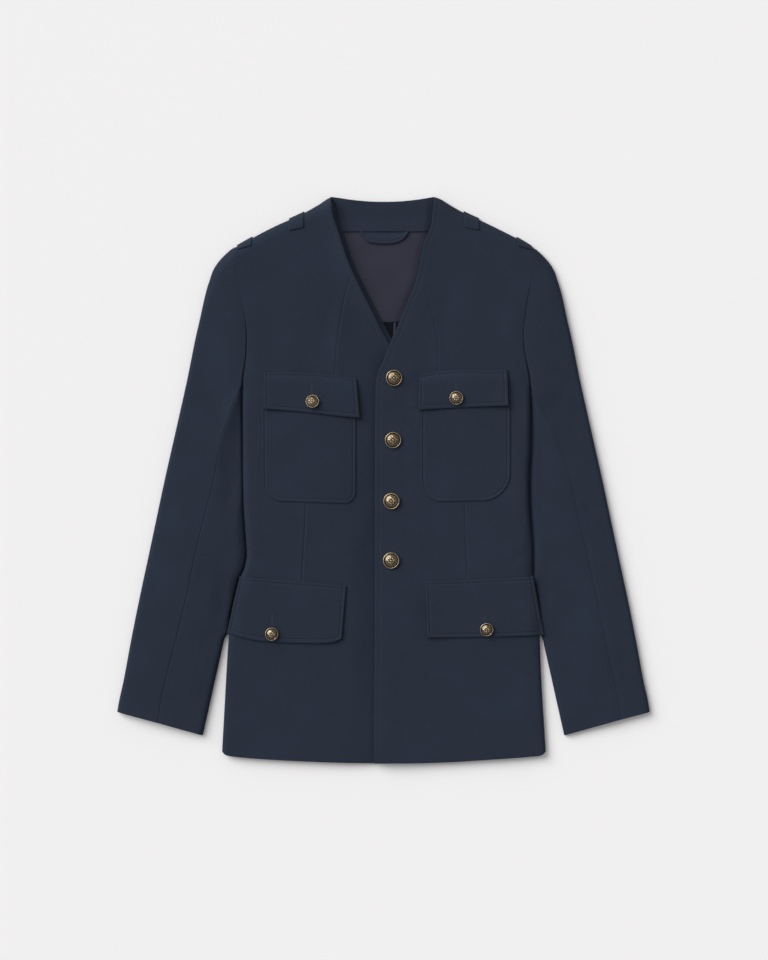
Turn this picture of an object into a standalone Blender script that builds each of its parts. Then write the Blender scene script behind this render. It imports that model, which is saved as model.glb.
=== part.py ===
"""Collarless military jacket, laid flat on its back and buttoned.

Real size, +Z up. The origin is under the middle of the jacket, on the surface that it lies on:
+X points to the wearer's left, +Y to the neck. Right and left are the wearer's sides.
"""
import math

import bmesh
import bpy
import numpy as np

MM = 0.001

# Driving sizes, in millimetres
NECK_DROP = 1.5           # the neck points, which are the jacket's top
HEM_DROP = 707.8          # the lowest line of the hem
ORIGIN_DROP = (NECK_DROP + HEM_DROP) / 2
GAP = 0.3                 # between pieces that touch
REST = 0.42               # between a panel and what is sewn on it
BACK_THICK = 2.4          # back cloth with its lining
FRONT_THICK = 2.6         # front cloth with its facing or lining
SLEEVE_THICK = 2.2
PATCH_THICK = 1.5         # chest pocket
FLAP_THICK = 1.7
LINING_THICK = 1.5
LEVEL = 8.6               # top of the cloth, over the flat middle of a panel
BODY_ROLL = 12.0          # width over which a front rolls down to its side or shoulder
FOOT_WIDTH = 0.05         # a front's edge stands upright over this width
FOOT_SHARE = 0.2          # and rises this share of its height there
SLEEVE_ROLL = 9.0         # the same along the fold of a sleeve
SLEEVE_FOLD = 2.6         # height of the outermost line of a sleeve's fold
SLEEVE_INNER = 5.0        # height of a sleeve where it meets the body
SEAM = 0.5                # clearance along the armhole
BODY_TO_SLEEVE = 0.8      # clearance between the side of the body and the sleeve
UNDERLAP_SINK = 1.2       # the right front lies this much lower where it is covered
OVERLAP_RISE = 1.8        # the left front lies this much higher over it

# Outlines: x runs from the centre line to the wearer's left, out runs outwards on either side,
# and drop runs down from just above the neck points. All in millimetres.

# x, drop
FRONT_EDGE = {
    "right": [(-65.5, 1.5), (-60.5, 22), (-53, 46), (-42, 81), (-24.5, 120), (-7, 155),
              (7, 182), (21, 208), (33, 236), (33, 450), (33, 707.7)],
    "left": [(63, 1.5), (60.5, 31), (55.5, 49), (50.5, 75), (44.5, 96), (34.5, 120), (26, 140),
             (18, 161), (8.5, 182), (-0.5, 206), (-6, 217), (-9, 229), (-9.8, 242),
             (-10.8, 500), (-12, 707.8)],
}
# out, drop
SHOULDER = {
    "right": [(65.5, 1.5), (85.5, 12.5), (104, 23), (123, 32.5), (142, 41), (161, 50.5), (184.5, 64)],
    "left": [(63, 1.5), (83, 12), (102, 22.5), (121, 31.5), (139.5, 39.5), (158, 48), (185.5, 64)],
}
# out, drop
ARMHOLE = {
    "right": [(184.5, 64), (185.5, 79), (184.5, 100), (179.5, 120), (174.5, 141), (171, 166),
              (171, 188), (172, 204), (176, 222), (178, 239)],
    "left": [(185.5, 64), (187, 79), (185.5, 100), (180.5, 120), (177, 145), (174.5, 166),
             (175.5, 188), (179, 207), (182.5, 225), (184, 239)],
}
# out, drop
SIDE = {
    "right": [(178, 239), (178, 300), (178, 379), (177, 429), (172, 447.5), (175.5, 466),
              (179.5, 475), (185.5, 497.5), (191.5, 526), (194, 554), (202, 693)],
    "left": [(184, 239), (183, 316), (181.5, 347), (181.5, 375), (183, 404), (186.5, 435),
             (187, 466), (188.5, 475), (193, 496), (195.5, 522), (195.5, 549), (197.5, 604),
             (203, 693)],
}
# x, drop
HEM = {
    "right": [(-202, 693), (-197, 697.3), (-180, 700), (-142, 703), (-104, 705), (-67, 706.5),
              (-20, 707.7), (33, 707.7)],
    "left": [(203, 693), (198, 697.3), (180, 699.7), (158, 701.5), (120, 704), (83, 706.3),
             (45, 707.5), (-12, 707.8)],
}
# out, drop
SLEEVE_OUTER = [(185, 63.5), (191, 66.5), (204.5, 78.5), (213, 91), (217.5, 104), (221.3, 116),
                (224.5, 129), (230, 154), (235.7, 179), (245.7, 229), (262.5, 304), (273.8, 354),
                (284.4, 404), (295, 454), (305.7, 504), (315.7, 554), (325, 604), (330.5, 629),
                (333, 643.5)]
SLEEVE_SEAM = [(178, 262), (188, 278), (202, 304), (212, 355), (225, 405), (235.5, 448),
               (246, 500), (257, 545), (267.5, 586), (276.5, 623), (282, 657)]
FREE_EDGE_TOP = (199.4, 553.75)      # out, drop of the sleeve's straight inner edge
FREE_EDGE_CUFF = (226.0, 673.0)

# drops of the corners along the armhole and side, which front, back and sleeve share
CUT_DROPS = [64, 71, 77, 86, 101, 121, 146, 176, 208, 239, 262, 290, 336, 388, 429, 447.5, 466, 490,
             522, 556, 596, 640, 693]
# drop at the side or armhole, drop at the front edge: one row of the front's loft each
FRONT_ROWS = [(64, 1.5), (64.06, 1.56), (65.3, 2.8), (68.5, 5.4), (71, 8), (77, 13.5), (86, 24),
              (101, 46), (121, 81), (146, 120), (176, 161), (208, 208), (239, 240), (262, 264),
              (290, 291), (336, 336), (388, 388), (429, 429), (447.5, 448), (466, 466), (490, 491),
              (522, 524), (556, 560), (596, 602), (640, 652), (693, 707.7)]
# distances of the front's columns from its outer edge, and from its front edge
EDGE_COLUMNS = [0.0, 0.06, 1.3, 4.0, 8.0, 12.5]
LAP_COLUMNS = [78.0, 62.0, 46.0, 22.0, 0.0]
# drop at the outer fold, drop at the armhole or the seam
TOP_SLEEVE_ROWS = [(66, 71), (70.5, 77), (76.5, 86), (87, 101), (106, 121), (129, 146), (158, 176),
                   (190, 208), (222, 239), (250, 262), (278, 288), (320, 331), (370, 381),
                   (420, 431), (470, 481), (520, 532), (570, 582), (610, 622), (643.5, 657)]
# drop at the seam, drop at the inner edge
UNDER_SLEEVE_ROWS = [(266, 268), (287, 290), (331, 336), (381, 388), (419, 429), (437, 447.5),
                     (455, 466), (478, 490), (509, 522), (542, 556), (600, 614), (640, 654.5),
                     (657, 673)]

# Corner points of the flaps, as x, drop from the centre's side round by the hem
CHEST_FLAP = {
    "right": {"top": [(-33.5, 227.5), (-60.5, 222.5), (-104.5, 219.5), (-149, 219.5)],
              "bottom": [(-29.5, 276.3), (-54.5, 274.4), (-92, 270), (-149.5, 265)]},
    "left": {"top": [(45.5, 221.3), (80, 219), (120, 217.2), (154.5, 216.3)],
             "bottom": [(43, 270), (80, 270), (120, 269), (155.7, 267.5)]},
}
HIP_FLAP = {
    "right": {"top": [(-46.3, 485.5), (-75, 482.7), (-104.5, 480), (-179.5, 474.5)],
              "bottom": [(-52, 551.5), (-62, 556), (-104.5, 557.5), (-195.7, 545)]},
    "left": {"top": [(52, 480), (100, 478.4), (145, 476.8), (189.5, 475)],
             "bottom": [(54.5, 551.3), (100, 551.3), (150, 550.4), (203, 548.7)]},
}
# inner x, outer x, top drop, bottom drop, corner radius
CHEST_POCKET = {
    "right": (-34.5, -151, 235.0, 385.0, 15.0),
    "left": (46.0, 158, 233.0, 381.3, 15.0),
}
# out along the shoulder, length on the front
SHOULDER_LOOP = {
    "right_inner": (-109, 20.0),
    "right_outer": (-172, 16.0),
    "left_inner": (110, 20.0),
    "left_outer": (174, 16.0),
}
LOOP_WIDTH = 18.5
LOOP_PROUD = 2.6          # how far a loop stands out over the shoulder's edge
LOOP_THICK = 1.6
LOOP_FOOT = 0.2           # a loop's end stays this much above the surface

# name: x, drop, radius, tilt in degrees, direction of the raised side in degrees
BUTTONS = {
    "front_button_1": (13.0, 226.5, 10.3, 6.0, 135),
    "front_button_2": (11.8, 304.0, 10.3, 5.0, 150),
    "front_button_3": (10.0, 380.0, 10.3, 5.0, 40),
    "front_button_4": (9.4, 454.0, 10.3, 2.0, 90),
    "chest_button_right": (-88.8, 255.0, 8.6, 4.0, 130),
    "chest_button_left": (90.6, 251.5, 8.6, 1.0, 90),
    "hip_button_right": (-138.8, 547.0, 8.6, 3.0, 100),
    "hip_button_left": (128.0, 540.0, 8.6, 2.0, 60),
}
BUTTON_SHANK = 1.3
BUTTON_SEAT = 0.35        # between the shank and the cloth

FACING_DROP = 43.5        # lower edge of the back neck facing
YOKE_DROP = 156.0         # seam between the lining's yoke and its lower part
LOWER_DROP = 185.0        # the lower lining ends here, under the fronts
HANGER_WIDTH = 9.5
HANGER_BOW = 3.5          # how far the loop hangs down in its middle
HANGER_LIFT = 0.9
HANGER_THICK = 1.1
FLAP_CURL = 1.6           # how far a chest flap's lower corners lift
HIP_CURL = 1.0            # and a hip flap's
FLAP_DROOP = 1.5          # how far a hip flap sinks past the side of the body

# colour, roughness, metallic
MATERIALS = {
    "navy_wool": ((0.023, 0.031, 0.045), 0.85, 0.0),
    "purple_lining": ((0.030, 0.031, 0.047), 0.6, 0.0),
    "navy_satin": ((0.010, 0.012, 0.020), 0.35, 0.0),
    "antique_brass": ((0.31, 0.24, 0.15), 0.42, 1.0),
}

SIGN = {"right": -1.0, "left": 1.0}


def clear_scene():
    for item in list(bpy.data.objects):
        bpy.data.objects.remove(item, do_unlink=True)


def make_material(name):
    colour, roughness, metallic = MATERIALS[name]
    material = bpy.data.materials.new(name)
    material.use_nodes = True
    shader = material.node_tree.nodes["Principled BSDF"]
    shader.inputs["Base Color"].default_value = (*colour, 1.0)
    shader.inputs["Roughness"].default_value = roughness
    shader.inputs["Metallic"].default_value = metallic
    return material


def smooth_curve(rows, per_span=12):
    """A smooth line through the rows, by a centripetal Catmull-Rom spline."""
    points = np.array(rows, dtype=float)
    first = 2 * points[0] - points[1]
    last = 2 * points[-1] - points[-2]
    points = np.vstack([first, points, last])
    line = []
    for a, b, c, d in zip(points, points[1:], points[2:], points[3:]):
        knots = np.cumsum([0.0] + [math.sqrt(np.hypot(*(q - p))) for p, q in ((a, b), (b, c), (c, d))])
        t = np.linspace(knots[1], knots[2], per_span, endpoint=False)[:, None]
        ab = (knots[1] - t) / knots[1] * a + t / knots[1] * b
        bc = (knots[2] - t) / (knots[2] - knots[1]) * b + (t - knots[1]) / (knots[2] - knots[1]) * c
        cd = (knots[3] - t) / (knots[3] - knots[2]) * c + (t - knots[2]) / (knots[3] - knots[2]) * d
        abc = (knots[2] - t) / knots[2] * ab + t / knots[2] * bc
        bcd = (knots[3] - t) / (knots[3] - knots[1]) * bc + (t - knots[1]) / (knots[3] - knots[1]) * cd
        line.append((knots[2] - t) / (knots[2] - knots[1]) * abc
                    + (t - knots[1]) / (knots[2] - knots[1]) * bcd)
    line.append(points[-2][None, :])
    return np.vstack(line)


def at_drop(curve, drop):
    return np.interp(drop, curve[:, 1], curve[:, 0])


def side_line(rows, side):
    line = smooth_curve(rows)
    line[:, 0] *= SIGN[side]
    return line


def distance_to(line, x, drop):
    """Shortest distance from each point to a line of straight pieces."""
    shape = np.shape(x)
    point = np.stack([np.ravel(x), np.ravel(drop)], axis=1)[:, None, :]
    start = line[None, :-1]
    step = line[None, 1:] - start
    reach = np.clip(np.sum((point - start) * step, axis=2) / np.sum(step * step, axis=2), 0, 1)
    gaps = np.linalg.norm(point - start - reach[..., None] * step, axis=2)
    return gaps.min(axis=1).reshape(shape)


def smooth_step(value, low, high):
    t = np.clip((value - low) / (high - low), 0, 1)
    return t * t * (3 - 2 * t)


def roll(share):
    """Quarter of an ellipse: 0 at the edge, 1 on the flat."""
    return np.sqrt(1 - (1 - np.clip(share, 0, 1)) ** 2)


def upright_roll(gap):
    """The roll of a front's edge, which starts with a short upright foot."""
    return FOOT_SHARE * np.clip(gap / FOOT_WIDTH, 0, 1) + (1 - FOOT_SHARE) * roll(gap / BODY_ROLL)


class Outline:
    """The smooth lines of one side of the jacket, worked out once."""

    def __init__(self, side):
        self.side = side
        self.shoulder = side_line(SHOULDER[side], side)
        self.armhole = side_line(ARMHOLE[side], side)
        self.flank = side_line(SIDE[side], side)
        self.front = smooth_curve(FRONT_EDGE[side])
        self.hem = smooth_curve(HEM[side])
        self.fold = side_line(SLEEVE_OUTER, side)
        body_side = np.vstack([self.armhole[:-1], self.flank])
        drops = np.array(CUT_DROPS, dtype=float)
        self.body_side = np.stack([at_drop(body_side, drops), drops], axis=1)
        self.flank = self.body_side[drops >= 239]
        self.top_edge = np.vstack([self.shoulder[:-1], self.fold])

    def armhole_out(self, drop):
        """Edge of the sleeve along the armhole, then along the side of the body."""
        return np.abs(at_drop(self.body_side, drop)) + SEAM

    def inner_out(self, drop):
        """Inner edge of the sleeve: beside the body, then straight to the cuff."""
        slope = (FREE_EDGE_CUFF[0] - FREE_EDGE_TOP[0]) / (FREE_EDGE_CUFF[1] - FREE_EDGE_TOP[1])
        free = FREE_EDGE_TOP[0] + slope * (drop - FREE_EDGE_TOP[1])
        beside = np.abs(at_drop(self.body_side, np.minimum(drop, 560))) + BODY_TO_SLEEVE
        return np.where(np.asarray(drop) < 556, np.maximum(beside, free), free)


def front_level(side, x):
    if side == "right":
        return LEVEL - UNDERLAP_SINK * smooth_step(x, -45, -13)
    return LEVEL + OVERLAP_RISE * (1 - smooth_step(x, 36, 68))


def front_height(outline, x, drop, foot=BACK_THICK + GAP):
    """Height of the front's outer face: flat, rolled down to the side and to the shoulder."""
    side_share = upright_roll(distance_to(outline.flank, x, drop))
    side_weight = smooth_step(drop, 224, 268)
    shoulder_share = upright_roll(distance_to(outline.top_edge, x, drop))
    level = front_level(outline.side, x)
    return foot + (level - foot) * (1 - side_weight * (1 - side_share)) * shoulder_share


def sleeve_height(outline, x, drop):
    """Height of the sleeve's outer face: rolled at the fold, falling away to the body."""
    fold_share = roll(distance_to(outline.top_edge, x, drop) / SLEEVE_ROLL)
    inner_gap = np.abs(x) - outline.inner_out(drop)
    fall_width = 22 - 10 * smooth_step(drop, 500, 570)
    fall = (1 - np.clip(inner_gap / fall_width, 0, 1)) ** 2
    fall_weight = smooth_step(drop, 224, 268)
    level = LEVEL - (LEVEL - SLEEVE_INNER) * fall * fall_weight
    return SLEEVE_FOLD + (level - SLEEVE_FOLD) * fold_share


def along(line, share):
    """Points at shares of a line's length."""
    steps = np.hypot(*np.diff(line, axis=0).T)
    length = np.concatenate([[0], np.cumsum(steps)])
    at = np.asarray(share) * length[-1]
    return np.stack([np.interp(at, length, line[:, 0]), np.interp(at, length, line[:, 1])], axis=-1)


def patch(top, bottom, start, end, across, down):
    """Coons patch: start and end run down its sides, top and bottom run across it."""
    u = across[..., None]
    v = down[..., None]
    corners = (1 - u) * (1 - v) * top[0] + u * (1 - v) * top[-1]
    corners = corners + (1 - u) * v * bottom[0] + u * v * bottom[-1]
    rows = (1 - v) * along(top, across) + v * along(bottom, across)
    columns = (1 - u) * start[:, None, :] + u * end[:, None, :]
    return rows + columns - corners


def add_object(name, mesh, material):
    item = bpy.data.objects.new(name, mesh)
    PARTS.objects.link(item)
    item.data.materials.append(SHADES[material])
    return item


def grid_object(name, x, drop, z, thick, material, even=True):
    """Open sheet through rows of points, made solid under its outer face."""
    rows, columns = x.shape
    sheet = bmesh.new()
    bmesh.ops.create_grid(sheet, x_segments=columns - 1, y_segments=rows - 1, size=1.0)
    places = np.stack([x, ORIGIN_DROP - drop, z], axis=-1).reshape(-1, 3) * MM
    for vertex, place in zip(sheet.verts, places):
        vertex.co = place
    sheet.normal_update()
    lowest = z.min() * MM - MM
    upward = sum(f.calc_area() * f.normal.z * (f.calc_center_median().z - lowest) for f in sheet.faces)
    if upward < 0:
        bmesh.ops.reverse_faces(sheet, faces=sheet.faces[:])
    mesh = bpy.data.meshes.new(name)
    sheet.to_mesh(mesh)
    sheet.free()
    item = add_object(name, mesh, material)
    wall = item.modifiers.new("wall", "SOLIDIFY")
    wall.thickness = thick * MM
    wall.offset = -1.0
    wall.use_even_offset = even
    return item


def flat_object(name, outline, low, high, material):
    """Flat piece of cloth with the outline of a closed line, between two heights."""
    flat = bpy.data.curves.new(name, "CURVE")
    flat.dimensions = "2D"
    flat.fill_mode = "BOTH"
    flat.extrude = (high - low) / 2 * MM
    spline = flat.splines.new("POLY")
    spline.points.add(len(outline) - 1)
    for point, (x, drop) in zip(spline.points, outline):
        point.co = (x * MM, (ORIGIN_DROP - drop) * MM, 0, 1)
    spline.use_cyclic_u = True
    item = add_object(name, flat, material)
    item.location.z = (low + high) / 2 * MM
    return item


def thin_line(line, spacing):
    """The line with a point about every spacing millimetres, ends kept."""
    steps = np.hypot(*np.diff(line, axis=0).T)
    count = max(2, int(round(steps.sum() / spacing)) + 1)
    return along(line, np.linspace(0, 1, count))


def make_back(lines):
    """One flat slab from side to side, under both fronts."""
    right, left = lines["right"], lines["left"]
    neck = smooth_curve([(-65.5, 1.5), (-45, 4), (-20, 5.8), (0, 6.2), (20, 5.6), (43, 3.4), (63, 1.5)])
    parts = [
        thin_line(right.shoulder, 18)[::-1][:-1],
        thin_line(neck, 14)[:-1],
        thin_line(left.shoulder, 18)[:-1],
        left.body_side[:-1],
        thin_line(left.hem[left.hem[:, 0] > 12], 22),
        thin_line(right.hem[right.hem[:, 0] < 0], 22)[::-1],
        right.body_side[::-1][1:-1],
    ]
    flat_object("back", np.vstack(parts), 0.0, BACK_THICK, "navy_wool")


def neckline_at(outline, drops, tuck):
    """Points on a front's neck edge, moved outwards so that they lie under it."""
    x = at_drop(outline.front, drops) + SIGN[outline.side] * tuck
    return np.stack([x, drops], axis=1)


def make_inside_back(lines):
    """Facing, yoke and lining that show in the neck, and the hanger loop."""
    low = BACK_THICK + GAP
    high = low + LINING_THICK
    tuck_near_neck = -1.2
    tuck = 7.0

    def band(name, top, bottom, material, top_line=None):
        drops = np.linspace(top, bottom, 7)
        tucks = tuck_near_neck + (tuck - tuck_near_neck) * smooth_step(drops, 16, 42)
        right = neckline_at(lines["right"], drops, tucks)
        left = neckline_at(lines["left"], drops, tucks)
        closed = np.vstack([right[::-1], left] if top_line is None else [right[::-1], top_line, left])
        flat_object(name, closed, low, high, material)

    facing_top = smooth_curve([(-45, 4.6), (-20, 6.3), (0, 6.7), (20, 6.1), (43, 4.2)], 2)
    band("back_neck_facing", 2.6, FACING_DROP, "navy_wool", facing_top)
    band("lining_yoke", FACING_DROP + GAP, YOKE_DROP, "purple_lining")
    band("lining_lower", YOKE_DROP + GAP, LOWER_DROP, "navy_satin")
    across = np.linspace(0, 1, 9)
    x = -29.5 + 60 * across
    bow = 4 * across * (1 - across)
    rise = HANGER_LIFT * bow
    rows = np.array([[0.0], [HANGER_WIDTH / 2], [HANGER_WIDTH]])
    drop = FACING_DROP - 2.5 + HANGER_BOW * bow + rows * (0.55 + 0.45 * bow)
    z = high + GAP + HANGER_THICK + rise + 0 * rows
    grid_object("hanger_loop", x + 0 * rows, drop, z, HANGER_THICK, "navy_wool")


def make_front(outline):
    """Front from its hem to the shoulder, as a loft whose columns crowd where it rolls."""
    table = np.array(FRONT_ROWS)
    outer_line = outline.body_side
    start = np.stack([at_drop(outer_line, table[:, 0]), table[:, 0]], axis=1)
    start[0] = outline.shoulder[-1]
    end = np.stack([at_drop(outline.front, table[:, 1]), table[:, 1]], axis=1)
    length = np.cumsum(np.concatenate([[0], np.hypot(*np.diff((start + end) / 2, axis=0).T)]))
    down = (length / length[-1])[:, None]
    width = np.hypot(*(end - start).T)[:, None]
    near = np.array([EDGE_COLUMNS]) / width
    lap = 1 - np.array([LAP_COLUMNS]) / width
    middle = near[:, -1:] + (lap[:, :1] - near[:, -1:]) * np.array([[0.25, 0.5, 0.75]])
    across = np.hstack([near, middle, lap])
    down = down + 0 * across
    points = patch(outline.shoulder[::-1], outline.hem, start, end, across, down)
    x, drop = points[..., 0], points[..., 1]
    z = front_height(outline, x, drop)
    grid_object(f"front_{outline.side}", x, drop, z, FRONT_THICK, "navy_wool")


def make_top_sleeve(outline):
    """Top sleeve: from the armhole or seam over the outer fold and back along the underside."""
    sign = SIGN[outline.side]
    table = np.array(TOP_SLEEVE_ROWS)
    seam = smooth_curve(SLEEVE_SEAM)
    fold = np.stack([at_drop(outline.fold, table[:, 0]), table[:, 0]], axis=1)
    beside = outline.armhole_out(table[:, 1])
    out = np.where(table[:, 1] < SLEEVE_SEAM[0][1], beside, np.maximum(at_drop(seam, table[:, 1]), beside))
    edge = np.stack([sign * out, table[:, 1]], axis=1)
    width = np.hypot(*(edge - fold).T)[:, None]
    under = [(1.0, 0.0), (0.5, 0.0)]
    turn = [(4.0, 0.0), (1.1, 0.7), (0.0, SLEEVE_FOLD)]
    over = [1.0, 3.2, 6.0, 9.5]
    points = [fold + (edge - fold) * share for share, _ in under]
    heights = [np.zeros(len(table)) for _ in under]
    for inset, height in turn:
        points.append(fold + (edge - fold) * np.minimum(inset / width, 0.3))
        heights.append(np.full(len(table), height))
    top = [fold + (edge - fold) * np.minimum(inset / width, 0.12 + 0.05 * k) for k, inset in enumerate(over)]
    last = top[-1]
    top += [last + (edge - last) * share for share in (0.34, 0.67, 1.0)]
    for place in top:
        points.append(place)
        heights.append(sleeve_height(outline, place[:, 0], place[:, 1]))
    grid = np.stack(points, axis=1)
    grid_object(f"sleeve_top_{outline.side}", grid[..., 0], grid[..., 1], np.stack(heights, axis=1),
                SLEEVE_THICK, "navy_wool")


def make_under_sleeve(outline):
    """Under sleeve: from the seam to the inner edge and back along the underside."""
    sign = SIGN[outline.side]
    table = np.array(UNDER_SLEEVE_ROWS)
    seam_out = at_drop(smooth_curve(SLEEVE_SEAM), table[:, 0]) - SEAM
    edge = np.stack([sign * seam_out, table[:, 0]], axis=1)
    inner = np.stack([sign * outline.inner_out(table[:, 1]), table[:, 1]], axis=1)
    width = np.hypot(*(edge - inner).T)[:, None]
    points = [edge + 0, inner + (edge - inner) * 0.5]
    heights = [np.zeros(len(table)), np.zeros(len(table))]
    for inset, height in [(3.0, 0.0), (0.8, 0.7), (0.0, 2.4)]:
        points.append(inner + (edge - inner) * np.minimum(inset / width, 0.35))
        heights.append(np.full(len(table), height))
    for share in (0.0, 0.12, 0.3, 0.62, 1.0):
        place = inner + (edge - inner) * share
        points.append(place)
        heights.append(sleeve_height(outline, place[:, 0], place[:, 1]))
    grid = np.stack(points, axis=1)
    grid_object(f"sleeve_under_{outline.side}", grid[..., 0], grid[..., 1], np.stack(heights, axis=1),
                SLEEVE_THICK, "navy_wool")


def make_chest_pocket(outline):
    """Patch pocket on the front, with round lower corners."""
    inner, outer, top, bottom, radius = CHEST_POCKET[outline.side]
    sign = SIGN[outline.side]
    corner = radius * (1 - np.cos(np.radians([0, 22.5, 45, 67.5, 90])))
    straight = np.linspace(top, bottom - radius, 5)[:-1]
    turn = bottom - radius + radius * np.sin(np.radians([0, 22.5, 45, 67.5, 90]))
    drops = np.concatenate([straight, turn])
    inset = np.concatenate([np.zeros(len(straight)), corner])
    across = np.linspace(0, 1, 8)[None, :]
    start = inner + sign * inset[:, None]
    end = outer - sign * inset[:, None]
    x = start + (end - start) * across
    drop = drops[:, None] + 0 * x
    z = front_height(outline, x, drop) + REST + PATCH_THICK
    grid_object(f"chest_pocket_{outline.side}", x, drop, z, PATCH_THICK, "navy_wool")


def flap_grid(table, rows, columns):
    top = smooth_curve(table["top"])
    bottom = smooth_curve(table["bottom"])
    down = np.linspace(0, 1, rows)
    start = top[0] + (bottom[0] - top[0]) * down[:, None]
    end = top[-1] + (bottom[-1] - top[-1]) * down[:, None]
    across = np.linspace(0, 1, columns)[None, :] + 0 * down[:, None]
    points = patch(top, bottom, start, end, across, down[:, None] + 0 * across)
    return points[..., 0], points[..., 1], across, down[:, None]


def make_chest_flap(outline):
    """Flap over the pocket's mouth, sewn along its top, with its lower corners a little up."""
    x, drop, across, down = flap_grid(CHEST_FLAP[outline.side], 6, 8)
    over_pocket = (REST + PATCH_THICK) * smooth_step(down, 0.0, 0.22)
    curl = FLAP_CURL * down ** 2 * (np.abs(across - 0.5) * 2) ** 3
    z = front_height(outline, x, drop) + REST + FLAP_THICK + over_pocket + curl
    grid_object(f"chest_flap_{outline.side}", x, drop, z, FLAP_THICK, "navy_wool")


def make_hip_flap(outline):
    """Hip flap, nearly flat, that reaches out over the side of the body."""
    x, drop, across, down = flap_grid(HIP_FLAP[outline.side], 6, 13)
    past_side = np.abs(x) - np.abs(at_drop(outline.flank, drop))
    droop = FLAP_DROOP * smooth_step(past_side, -BODY_ROLL, BODY_ROLL / 2)
    curl = HIP_CURL * down ** 2 * (np.abs(across - 0.5) * 2) ** 3
    z = front_level(outline.side, x) - droop + REST + FLAP_THICK + curl
    grid_object(f"hip_flap_{outline.side}", x, drop, z, FLAP_THICK, "navy_wool")


def make_shoulder_loop(name, outline, x_middle, length):
    """Narrow loop that lies on the front and turns down over the shoulder's edge."""
    x = x_middle + LOOP_WIDTH * np.array([[-0.5, 0.0, 0.5]])
    edge = np.interp(np.abs(x), np.abs(outline.shoulder[:, 0]), outline.shoulder[:, 1])
    on_front = np.array([length, 12.0, 8.0, 4.5, 2.0])[:, None] + edge
    front = front_height(outline, x + 0 * on_front, on_front) + REST + LOOP_THICK
    past = np.array([0.0, 1.6, LOOP_PROUD, LOOP_PROUD, LOOP_PROUD])[:, None]
    turn = np.array([0.82, 0.7, 0.5, 0.25, 0.0])[:, None]
    drop = np.vstack([on_front, edge - past])
    z = np.vstack([front, LOOP_FOOT + (LEVEL - LOOP_FOOT) * turn + 0 * x])
    grid_object(f"shoulder_loop_{name}", x + 0 * drop, drop, z, LOOP_THICK, "navy_wool", even=False)


def make_button(name, lines, x, drop, radius, tilt, toward):
    """Domed button with a raised rim, turned from its profile, on a short shank."""
    side = "left" if name.startswith("front") or x > 0 else "right"
    shares = [(0.0, 4.5), (0.36, 4.1), (0.64, 3.1), (0.80, 2.1), (0.90, 2.6), (1.0, 1.9), (1.0, 0.9),
              (0.84, 0.0)]
    profile = [(share * radius, height) for share, height in shares]
    profile += [(2.2, 0.0), (2.2, -BUTTON_SHANK), (0.0, -BUTTON_SHANK)]
    mesh = bpy.data.meshes.new(name)
    mesh.from_pydata([(r * MM, 0, h * MM) for r, h in profile],
                     [(k, k + 1) for k in range(len(profile) - 1)], [])
    item = add_object(name, mesh, "antique_brass")
    turn = item.modifiers.new("turn", "SCREW")
    turn.steps = 16
    turn.render_steps = 16
    turn.use_merge_vertices = True
    turn.merge_threshold = 0.00001
    carrier = flap_top(lines[side], x, drop, name)
    item.location = (x * MM, (ORIGIN_DROP - drop) * MM, (carrier + BUTTON_SEAT + BUTTON_SHANK) * MM)
    angle = math.radians(toward)
    item.rotation_mode = "AXIS_ANGLE"
    item.rotation_axis_angle = (math.radians(tilt), math.sin(angle), -math.cos(angle), 0)


def flap_top(outline, x, drop, name):
    """Height of the cloth under a button."""
    top = float(front_height(outline, np.array([x]), np.array([drop]))[0])
    if name.startswith("chest"):
        return top + 2 * REST + PATCH_THICK + FLAP_THICK
    if name.startswith("hip"):
        return top + REST + FLAP_THICK
    return top


def build_jacket():
    lines = {side: Outline(side) for side in SIGN}
    make_back(lines)
    make_inside_back(lines)
    for side in SIGN:
        make_front(lines[side])
        make_top_sleeve(lines[side])
        make_under_sleeve(lines[side])
        make_chest_pocket(lines[side])
        make_chest_flap(lines[side])
        make_hip_flap(lines[side])
    for name, (x_middle, length) in SHOULDER_LOOP.items():
        make_shoulder_loop(name, lines[name.split("_")[0]], x_middle, length)
    for name, values in BUTTONS.items():
        make_button(name, lines, *values)


clear_scene()
PARTS = bpy.data.collections.new("military_jacket")
bpy.context.scene.collection.children.link(PARTS)
SHADES = {name: make_material(name) for name in MATERIALS}
build_jacket()
bpy.context.view_layer.update()
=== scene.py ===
"""Looks of a collarless military jacket that lies flat: cloth, sewing, buttons, floor and light.

Tables and shapes are in millimetres: x runs from the centre line to the wearer's left, out runs
outwards on either side, drop runs down from the neck, and z up from the floor.
"""
import math

import bmesh
import bpy
import numpy as np
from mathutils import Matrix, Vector
from mathutils.bvhtree import BVHTree


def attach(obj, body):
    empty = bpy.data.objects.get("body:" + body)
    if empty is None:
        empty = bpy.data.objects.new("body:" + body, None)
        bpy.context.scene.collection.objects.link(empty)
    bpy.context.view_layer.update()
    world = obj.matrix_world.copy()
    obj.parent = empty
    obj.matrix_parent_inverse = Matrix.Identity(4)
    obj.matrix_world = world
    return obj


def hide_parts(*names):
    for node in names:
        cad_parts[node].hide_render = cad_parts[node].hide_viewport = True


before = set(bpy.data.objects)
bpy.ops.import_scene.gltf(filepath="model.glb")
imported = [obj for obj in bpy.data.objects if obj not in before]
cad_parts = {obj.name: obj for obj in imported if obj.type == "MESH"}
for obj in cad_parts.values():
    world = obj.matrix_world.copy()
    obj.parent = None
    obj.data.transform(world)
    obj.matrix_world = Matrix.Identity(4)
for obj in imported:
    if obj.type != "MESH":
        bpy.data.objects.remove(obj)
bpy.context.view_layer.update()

MM = 0.001
SIGN = {"right": -1.0, "left": 1.0}
ORIGIN_DROP = 354.65          # drop of the frame's origin

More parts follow.
